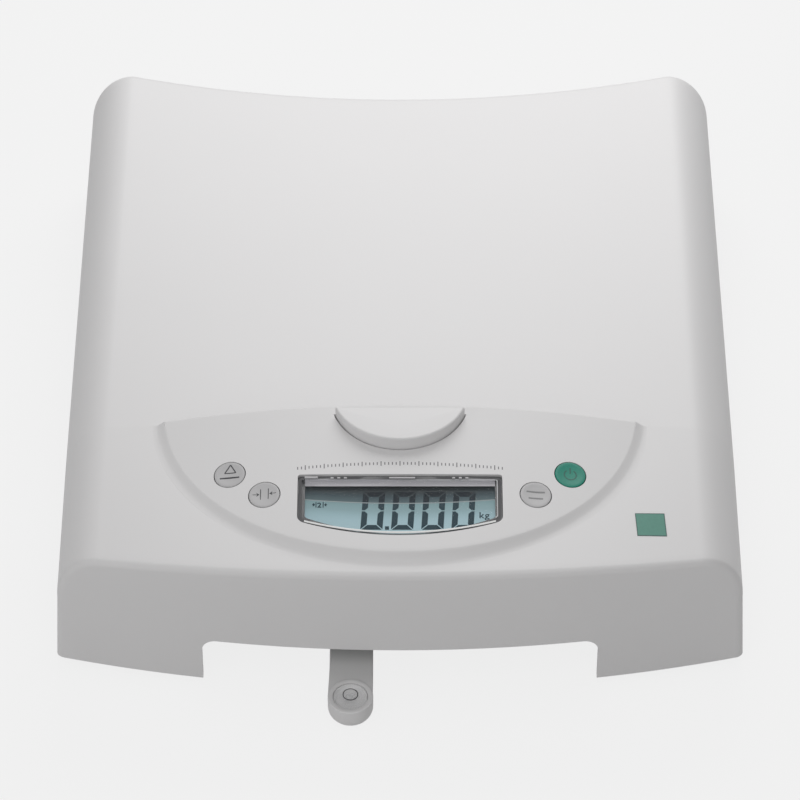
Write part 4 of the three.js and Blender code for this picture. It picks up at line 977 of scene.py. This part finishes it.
# Release button: a half-round cap that stands level above the sloping panel, with a flange under
# the panel and a stem in the spring of its guide.
BUTTON_TOP, BUTTON_EDGE, BUTTON_BACK_EDGE = 92.3, 0.9, 0.35
FLANGE_TOP, FLANGE_BOTTOM, FLANGE_REACH = 82.58, 80.98, 2.2
STEM_RADIUS, STEM_FOOT, STEM_Y = 3.0, 67.88, -75.65
button_steps = [(FLANGE_REACH, BUTTON_PLAY, FLANGE_BOTTOM), (FLANGE_REACH, BUTTON_PLAY, FLANGE_TOP),
                (0, 0, FLANGE_TOP)]
for run, fall in quarter(9):
    button_steps.append((-BUTTON_EDGE * run, -BUTTON_BACK_EDGE * run, BUTTON_TOP - BUTTON_EDGE * fall))
button = lofted("button_cap", [[(x, y, z) for x, y in button_outline(grow, back_grow)]
                               for grow, back_grow, z in button_steps], BUTTON_FRAME)
stem_top = FLANGE_TOP - 0.4
stem_profile = [(0, STEM_FOOT), (STEM_RADIUS, STEM_FOOT), (STEM_RADIUS, stem_top), (0, stem_top)]
stem = turned("button_stem", stem_profile, at(0, STEM_Y), 36)


def unite(piece, other):
    """Adds one piece to another and removes it."""
    apply_modifier(piece, "BOOLEAN", operation="UNION", object=other, solver="EXACT")
    bpy.data.objects.remove(other)


unite(button, stem)
smooth(button, 40)
finish(button, shell_paint, "release_button", "shell_white", "release_button")

# Label: a plain green square of printed film on the shell at the front right, slightly turned,
# with a darker printed edge.
LABEL_X, LABEL_Y, LABEL_SIDE, LABEL_TURN = 105.4, -116.7, 12.5, math.radians(2.7)
LABEL_FILM, LABEL_STEPS = 0.12, 12


def label_rows():
    rows = []
    for row_step in range(LABEL_STEPS + 1):
        row = []
        for step in range(LABEL_STEPS + 1):
            u, v = (step / LABEL_STEPS - 0.5) * LABEL_SIDE, (row_step / LABEL_STEPS - 0.5) * LABEL_SIDE
            x = LABEL_X + u * math.cos(LABEL_TURN) - v * math.sin(LABEL_TURN)
            y = LABEL_Y + u * math.sin(LABEL_TURN) + v * math.cos(LABEL_TURN)
            row.append((x, y, shell_top(x, y - bow(x, y)) + LABEL_FILM))
        rows.append(row)
    return rows


def label_paint():
    """Printed film: a fibrous green with a darker edge, in the label's own turned square."""
    material, tree, shader = new_material("label_print")
    place = surface_place(tree)
    square_up = add(tree, "Mapping", {"Vector": place, "Location": (LABEL_X * MM, LABEL_Y * MM, 0),
                                      "Rotation": (0, 0, LABEL_TURN)}, vector_type="TEXTURE")
    sides = [add(tree, "SeparateXYZ", {0: square_up}, axis) for axis in "XY"]
    sizes = [arith(tree, "ABSOLUTE", side) for side in sides]
    reach = arith(tree, "MAXIMUM", *sizes)
    edge = add(tree, "MapRange", {"Value": reach, "From Min": (LABEL_SIDE / 2 - 0.45) * MM,
                                  "From Max": (LABEL_SIDE / 2 - 0.3) * MM})
    fibre = add(tree, "TexNoise", {"Vector": place, "Scale": 700})
    body = tone_ramp(tree, fibre, [(0, (0.060, 0.215, 0.165)), (1, (0.075, 0.255, 0.195))])
    tone = add(tree, "Mix", {"Factor": edge, "A": body, "B": (0.035, 0.10, 0.085, 1)}, "Result",
               data_type="RGBA")
    feed(tree, shader, {"Base Color": tone, "Roughness": 0.45})
    return material


label = grid_piece("green_label", label_rows())
apply_modifier(label, "SOLIDIFY", thickness=(LABEL_FILM + 0.05) * MM, offset=-1, use_even_offset=False)
finish(label, label_paint(), "platform", "key_green")

# Spirit level: an arm of pale plastic that reaches out under the front wall, with a round cup at
# its end. Arm and cup are one moulding, held to the base by a screw.
LEVEL_X, LEVEL_Y = -20.95, -160.7
CUP_RADIUS, CUP_BOTTOM, CUP_ROUND, CUP_TOP = 9.65, 3.1, 5.4, 14.6
WELL_RADIUS, WELL_FLOOR = 7.4, 9.9
STRIP_BOTTOM, STRIP_TOP, STRIP_BACK, STRIP_EDGE = 12.3, 16.6, 66.7, 0.7
STRIP_DROP, DROP_START, DROP_END = 2.4, 14.0, 38.0
SCREW_HOLE, SCREW_BACK = 2.1, 53.7
LEVEL_PLACE = at(LEVEL_X, LEVEL_Y)
# The strip's two sides at distances from the cup's centre.
STRIP_SIDES = [(0, -9.6, 9.45), (2, -9.55, 9.45), (5, -9.45, 9.45), (10, -9.25, 9.5),
               (16, -9.05, 9.5), (22, -9.0, 9.5), (33, -9.0, 9.5), (36.5, -9.0, 9.0),
               (STRIP_BACK, -9.0, 9.0)]


def strip_ring(y, left, right):
    """The strip's cross-section, with rounded upper edges, lowered where it nears the cup."""
    share = min(1, max(0, (y - DROP_START) / (DROP_END - DROP_START)))
    drop = STRIP_DROP * (1 - share * share * (3 - 2 * share))
    ring = [(left, STRIP_BOTTOM)]
    for corner, side in ((left, 1), (right, -1)):
        edge = [(corner + side * STRIP_EDGE * run, STRIP_TOP - STRIP_EDGE * fall)
                for run, fall in quarter(4)]
        ring += edge[::side]
    ring.append((right, STRIP_BOTTOM))
    return [(x, y, z - drop) for x, z in ring]


strip_rings = []
for near, far in zip(STRIP_SIDES, STRIP_SIDES[1:]):
    count = max(1, round((far[0] - near[0]) / 2.5))
    for step in range(count):
        strip_rings.append(strip_ring(*(lerp(a, b, step / count) for a, b in zip(near, far))))
strip_rings.append(strip_ring(*STRIP_SIDES[-1]))
arm = lofted("level_arm_body", strip_rings, LEVEL_PLACE)
CUP_SIDE, CUP_EDGE = CUP_RADIUS - 0.02, 0.4
cup_profile = [(0, CUP_BOTTOM)]
cup_profile += [(CUP_SIDE - CUP_ROUND * fall, CUP_BOTTOM + CUP_ROUND * run) for run, fall in quarter(10)]
cup_profile += [(CUP_SIDE - CUP_EDGE * run, CUP_TOP - CUP_EDGE * fall) for run, fall in quarter(6)]
cup_profile += [(WELL_RADIUS + 0.5, CUP_TOP), (WELL_RADIUS - 0.5, CUP_TOP - 0.5), (0, CUP_TOP - 0.5)]
unite(arm, turned("level_cup", cup_profile, LEVEL_PLACE, 96))
cut_away(arm, prism("well_cutter", circle(WELL_RADIUS, 96), WELL_FLOOR, CUP_TOP + 5, LEVEL_PLACE))
screw_place = LEVEL_PLACE @ at(0, SCREW_BACK)
cut_away(arm, prism("screw_cutter", circle(SCREW_HOLE, 24), 0, CUP_TOP + 5, screw_place))
smooth(arm, 35)
finish(arm, shell_paint, "base", "shell_white", "level_arm")

# The level's glass: a grey dish, a clear cap over it, a dark ring printed on the cap and the
# bubble that floats under the ring.
DISH_GREY = (0.84, 0.835, 0.84)
dish_profile = [(0, 10.0), (7.2, 10.0), (7.2, 13.9), (6.9, 13.9), (6.6, 13.5), (6.3, 12.9), (5.8, 12.5),
                (5.0, 12.3), (4.2, 12.2), (3.6, 12.0), (2.9, 11.7), (1.5, 11.5), (0, 11.5)]
dish = turned("level_dish", dish_profile, LEVEL_PLACE, 96)
smooth(dish, 45)
dish_plastic = moulded_plastic("dish_plastic", DISH_GREY, 0.35, 0.1, 0.06)
finish(dish, dish_plastic, "base", "level_grey", "level_vial_floor")
cap_profile = [(0, 14.75), (2, 14.7), (4, 14.5), (6, 14.1), (7.2, 13.95), (7.2, 14.3), (6.9, 14.55)]
cap_profile += [(6.6 - 6.6 * step / 8, 15.8 - 1.2 * (1 - step / 8) ** 2) for step in range(9)]
cap = turned("level_cap", cap_profile, LEVEL_PLACE, 96)
smooth(cap, 30)
cap_plastic = clear_plastic("cap_plastic", (0.70, 0.70, 0.70), 0.1)
finish(cap, cap_plastic, "base", "clear_plastic", "level_vial")
ring_profile = [(2.9, 15.5), (3.3, 15.45), (3.3, 15.56), (2.9, 15.6)]
ring = turned("level_ring", ring_profile, LEVEL_PLACE, 72)
ring_ink = moulded_plastic("ring_ink", (0.055, 0.055, 0.06), 0.5, 0.2, 0.2)
finish(ring, ring_ink, "base", "foot_plastic")
bubble_profile = [(0, 13.6), (1.2, 13.65), (1.9, 13.85), (2.1, 14.1), (1.9, 14.4), (1.3, 14.55),
                  (0, 14.58)]
bubble = turned("level_bubble", bubble_profile, LEVEL_PLACE, 48)
smooth(bubble, 60)
bubble_shine = clear_plastic("bubble_shine", (0.85, 0.86, 0.87), 0.35, 0.03)
finish(bubble, bubble_shine, "base", "clear_plastic")

# Base, battery door and button guide: mouldings in the shell's plastic, a little coarser because
# they aren't seen in use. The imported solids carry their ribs, bosses and bay.
inner_plastic = moulded_plastic("base_plastic", (0.66, 0.655, 0.645), 0.55, 0.6, 0.05)
dress(inner_plastic, "base_plate", "battery_door", "button_guide")

# Screw feet: rubber pads under ribbed discs of dark plastic, on studs in brass inserts.
FEET = ("front_left", "front_right", "back_left", "back_right")


def dusty_rubber():
    """Black rubber with a fine speckle and paler dust where noise gathers it."""
    material, tree, shader = new_material("rubber")
    place = surface_place(tree)
    dust = add(tree, "TexNoise", {"Vector": place, "Scale": 260, "Detail": 5})
    speckle = add(tree, "TexVoronoi", {"Vector": place, "Scale": 1400})
    feed(tree, shader, {
        "Base Color": tone_ramp(tree, dust, [(0.45, (0.028, 0.029, 0.030)), (0.8, (0.085, 0.083, 0.08))]),
        "Normal": add(tree, "Bump", {"Strength": 0.4, "Distance": 0.08 * MM, "Height": speckle}),
        "Roughness": 0.8,
    })
    return material


rubber = dusty_rubber()
dress(rubber, *(foot + "_foot_pad" for foot in FEET))
foot_plastic = moulded_plastic("foot_plastic", (0.085, 0.088, 0.092), 0.5, 0.6, 0.15)
dress(foot_plastic, *(foot + "_foot_screw" for foot in FEET))

# Key mats: a moulded rubber sheet on the board under each pair of keys, with a dome under each key.
MAT_LOW, MAT_HIGH, DOME_HIGH, DOME_RADIUS, DOME_TOP_RADIUS = -14.7, -13.7, -5.1, 4.5, 3.5
MAT_X, MAT_Y = (48.2, 81.0), (-55.2, -29.2)
for side, side_name in ((-1, "left"), (1, "right")):
    xs = sorted(side * x for x in MAT_X)
    mat = block(f"{side_name}_mat_sheet", (xs[0], MAT_Y[0], MAT_LOW), (xs[1], MAT_Y[1], MAT_HIGH))
    bevel_edges(mat, lambda a, b: abs(a.z - b.z) > 0.5, 2.0, 6)
    bevel_edges(mat, lambda a, b: min(a.z, b.z) > MAT_HIGH - 0.1, 0.3, 3)
    mat.data.transform(PANEL_FRAME)
    smooth(mat, 30)
    finish(mat, rubber, "platform", "rubber", f"{side_name}_key_mat")
for name, (key_x, key_forward) in KEYS.items():
    dome_low = (MAT_LOW + MAT_HIGH) / 2 + key_x * key_x / (2 * PANEL_CROWN)
    dome_profile = [(0, dome_low), (3.1, dome_low), (DOME_RADIUS, dome_low + 0.5),
                    (DOME_RADIUS - 0.2, dome_low + 1.2), (DOME_TOP_RADIUS + 0.1, DOME_HIGH - 1.3),
                    (DOME_TOP_RADIUS, DOME_HIGH - 1.0), (DOME_TOP_RADIUS, DOME_HIGH - 0.3),
                    (DOME_TOP_RADIUS - 0.3, DOME_HIGH), (0, DOME_HIGH)]
    place = key_frame(key_x, key_forward)
    dome = turned(f"{name}_dome", dome_profile, place, 48)
    smooth(dome, 35)
    finish(dome, rubber, "platform", "rubber")
    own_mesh(dome)


def metal_finish():
    """Drawn or rolled metal, streaked along one direction and faintly stained."""
    tree, entry, leave = finish_group("metal_finish", {"Stretch": "Vector", "Streak": "Float"})
    place = surface_place(tree)
    stretched = add(tree, "VectorMath", {0: place, 1: entry["Stretch"]}, operation="MULTIPLY")
    streaks = add(tree, "TexNoise", {"Vector": stretched, "Scale": 1, "Detail": 4})
    stains = add(tree, "TexNoise", {"Vector": place, "Scale": 70, "Detail": 3})
    both = arith(tree, "ADD", streaks, stains)
    centred = arith(tree, "SUBTRACT", both, 1)
    change = arith(tree, "MULTIPLY", centred, entry["Streak"])
    vary(tree, entry, leave, change, entry["Streak"], streaks, 0.03)
    return tree


METAL = metal_finish()


def worked_metal(name, colour, roughness, stretch, streak):
    """Metal with its working marks drawn out along the direction with the least stretch."""
    material, tree, shader = new_material(name)
    place_finish(tree, shader, METAL, {"Colour": (*colour, 1), "Roughness": roughness,
                                       "Stretch": stretch, "Streak": streak})
    shader.inputs["Metallic"].default_value = 1
    return material


brass = worked_metal("turned_brass", (0.72, 0.53, 0.22), 0.3, (500, 500, 2600), 0.3)
dress(brass, *(foot + "_foot_insert" for foot in FEET))

# Load cell: a milled aluminium beam whose two bores and slot leave four thin places. Spacers and
# zinc-plated bolts hold its ends.
CELL_STEPS, CELL_EDGE, CELL_BEND = 52, 0.5, 25.0
BORE_RADIUS, BORE_X, SLOT_HALF = 7.5, 17.0, 3.0
CELL_HOLE, CELL_HOLE_XS = 3.3, (-57.0, -42.0, 42.0, 57.0)
milled = worked_metal("milled_aluminium", (0.78, 0.785, 0.79), 0.32, (90, 3000, 3000), 0.35)
cell_low, cell_high = (Vector(corner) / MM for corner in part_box("load_cell"))
cell_middle = (cell_low + cell_high) / 2
cell_xs = [lerp(cell_low.x, cell_high.x, step / CELL_STEPS) for step in range(CELL_STEPS + 1)]
beam_side = [(x, cell_low.z) for x in cell_xs] + [(x, cell_high.z) for x in reversed(cell_xs)]
upended = Matrix.Rotation(math.pi / 2, 4, "X")
beam = prism("load_cell_beam", beam_side, -cell_high.y, -cell_low.y, upended)
bevel_edges(beam, lambda a, b: abs(a.y - b.y) < 0.1, CELL_EDGE, 2)
for bore_x in (-BORE_X, BORE_X):
    bore_place = at(bore_x, 0, cell_middle.z) @ upended
    bore = prism("bore_cutter", circle(BORE_RADIUS, 64), -cell_high.y - 2, 2 - cell_low.y, bore_place)
    cut_away(beam, bore)
cut_away(beam, block("slot_cutter", (-BORE_X, cell_low.y - 2, cell_middle.z - SLOT_HALF),
                     (BORE_X, cell_high.y + 2, cell_middle.z + SLOT_HALF)))
for hole_x in CELL_HOLE_XS:
    hole = circle(CELL_HOLE, 32)
    hole_place = at(hole_x, cell_middle.y)
    cut_away(beam, prism("bolt_cutter", hole, cell_low.z - 2, cell_high.z + 2, hole_place))
smooth(beam, 30)
beam.data.materials.clear()
beam.data.materials.append(milled)
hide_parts("load_cell")
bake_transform(beam)
dress(milled, "fixed_end_spacer", "free_end_spacer")
plated = worked_metal("plated_steel", (0.62, 0.625, 0.64), 0.3, (900, 900, 900), 0.3)
bolts = [f"{end}_end_bolt_{number}" for end in ("fixed", "free") for number in (1, 2)]
screw_kinds = ("shell_screw", "board_screw", "overload_stop")
screws = [f"{kind}_{number}" for kind in screw_kinds for number in (1, 2, 3, 4)]
dress(plated, *bolts, *screws, "level_screw")

# Platform frame: pressed galvanised sheet, bolted on the load cell and screwed to the shell.
galvanised = worked_metal("galvanised_sheet", (0.60, 0.615, 0.63), 0.42, (160, 160, 160), 0.5)
dress(galvanised, "platform_frame")

# Release spring: bright drawn wire wound in six turns round the button's stem. It stands in the guide.
SPRING_LOW, SPRING_HIGH, SPRING_RADIUS, WIRE_RADIUS = 65.45, 80.16, 4.0, 0.5
SPRING_TURNS, TURN_STEPS, WIRE_SIDES = 6, 28, 10
spring_rings = []
for step in range(SPRING_TURNS * TURN_STEPS + 1):
    turn = 2 * math.pi * step / TURN_STEPS
    level = lerp(SPRING_LOW, SPRING_HIGH, step / (SPRING_TURNS * TURN_STEPS))
    ring = []
    for side in range(WIRE_SIDES):
        around = 2 * math.pi * side / WIRE_SIDES
        reach = SPRING_RADIUS + WIRE_RADIUS * math.cos(around)
        height = level + WIRE_RADIUS * math.sin(around)
        ring.append((reach * math.cos(turn), STEM_Y + reach * math.sin(turn), height))
    spring_rings.append(ring)
spring = lofted("release_spring_wire", spring_rings)
smooth(spring, 40)
spring_wire = worked_metal("spring_wire", (0.66, 0.66, 0.67), 0.22, (1500, 1500, 1500), 0.2)
finish(spring, spring_wire, "platform", "steel", "release_spring")
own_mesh(spring)

# Main board: glass-fibre board under green lacquer, with paler copper tracks and pads.
def board_lacquer():
    """Green lacquer over fine tracks, with pale round pads."""
    material, tree, shader = new_material("board_lacquer")
    place = surface_place(tree)
    tracks = tree.nodes.new("ShaderNodeTexBrick")
    feed(tree, tracks, {"Vector": place, "Scale": 70, "Mortar Size": 0.035, "Mortar Smooth": 0.1,
                        "Color1": (0.022, 0.125, 0.055, 1), "Color2": (0.026, 0.145, 0.065, 1),
                        "Mortar": (0.075, 0.27, 0.11, 1)})
    pads = add(tree, "TexVoronoi", {"Vector": place, "Scale": 190})
    spots = add(tree, "MapRange", {"Value": pads, "From Min": 0.17, "From Max": 0.13})
    feed(tree, shader, {
        "Base Color": add(tree, "Mix", {"Factor": spots, "A": tracks.outputs["Color"],
                                        "B": (0.45, 0.44, 0.40, 1)}, "Result", data_type="RGBA"),
        "Normal": add(tree, "Bump", {"Strength": 0.3, "Distance": 0.04 * MM,
                                     "Height": tracks.outputs["Fac"]}),
        "Roughness": 0.35,
    })
    return material


dress(board_lacquer(), "main_board")

# Batteries: four AA cells with steel ends in a dark jacket that has a copper-coloured band at the
# plus end, side by side and turned about, between nickel-plated contact strips.
CELL_MIDDLE_Y, CELL_LENGTH = 110.5, 50.5
CELL_TONES = [(0.0, (0.60, 0.60, 0.61)), (0.03, (0.03, 0.032, 0.036)), (0.70, (0.55, 0.26, 0.11)),
              (0.945, (0.60, 0.60, 0.61))]


def battery_jacket(name, plus_side):
    """Bands along the cell: steel end, dark jacket, copper-coloured band, steel end."""
    material, tree, shader = new_material(name)
    y = add(tree, "SeparateXYZ", {0: surface_place(tree)}, "Y")
    minus_end, plus_end = ((CELL_MIDDLE_Y + side * plus_side * CELL_LENGTH / 2) * MM for side in (-1, 1))
    along = add(tree, "MapRange", {"Value": y, "From Min": minus_end, "From Max": plus_end})
    bands = tone_ramp(tree, along, CELL_TONES, "CONSTANT")
    place_finish(tree, shader, METAL, {"Colour": bands, "Roughness": 0.3, "Stretch": (400, 60, 400),
                                       "Streak": 0.15})
    shader.inputs["Metallic"].default_value = 0.7
    return material


jackets = {side: battery_jacket(f"battery_jacket_{label_side}", side)
           for side, label_side in ((1, "back"), (-1, "front"))}
for number in (1, 2, 3, 4):
    dress(jackets[1 if number % 2 else -1], f"battery_cell_{number}")
nickel = worked_metal("nickel_plate", (0.66, 0.64, 0.60), 0.28, (60, 2500, 900), 0.3)
dress(nickel, "front_contact_strip", "back_contact_strip")
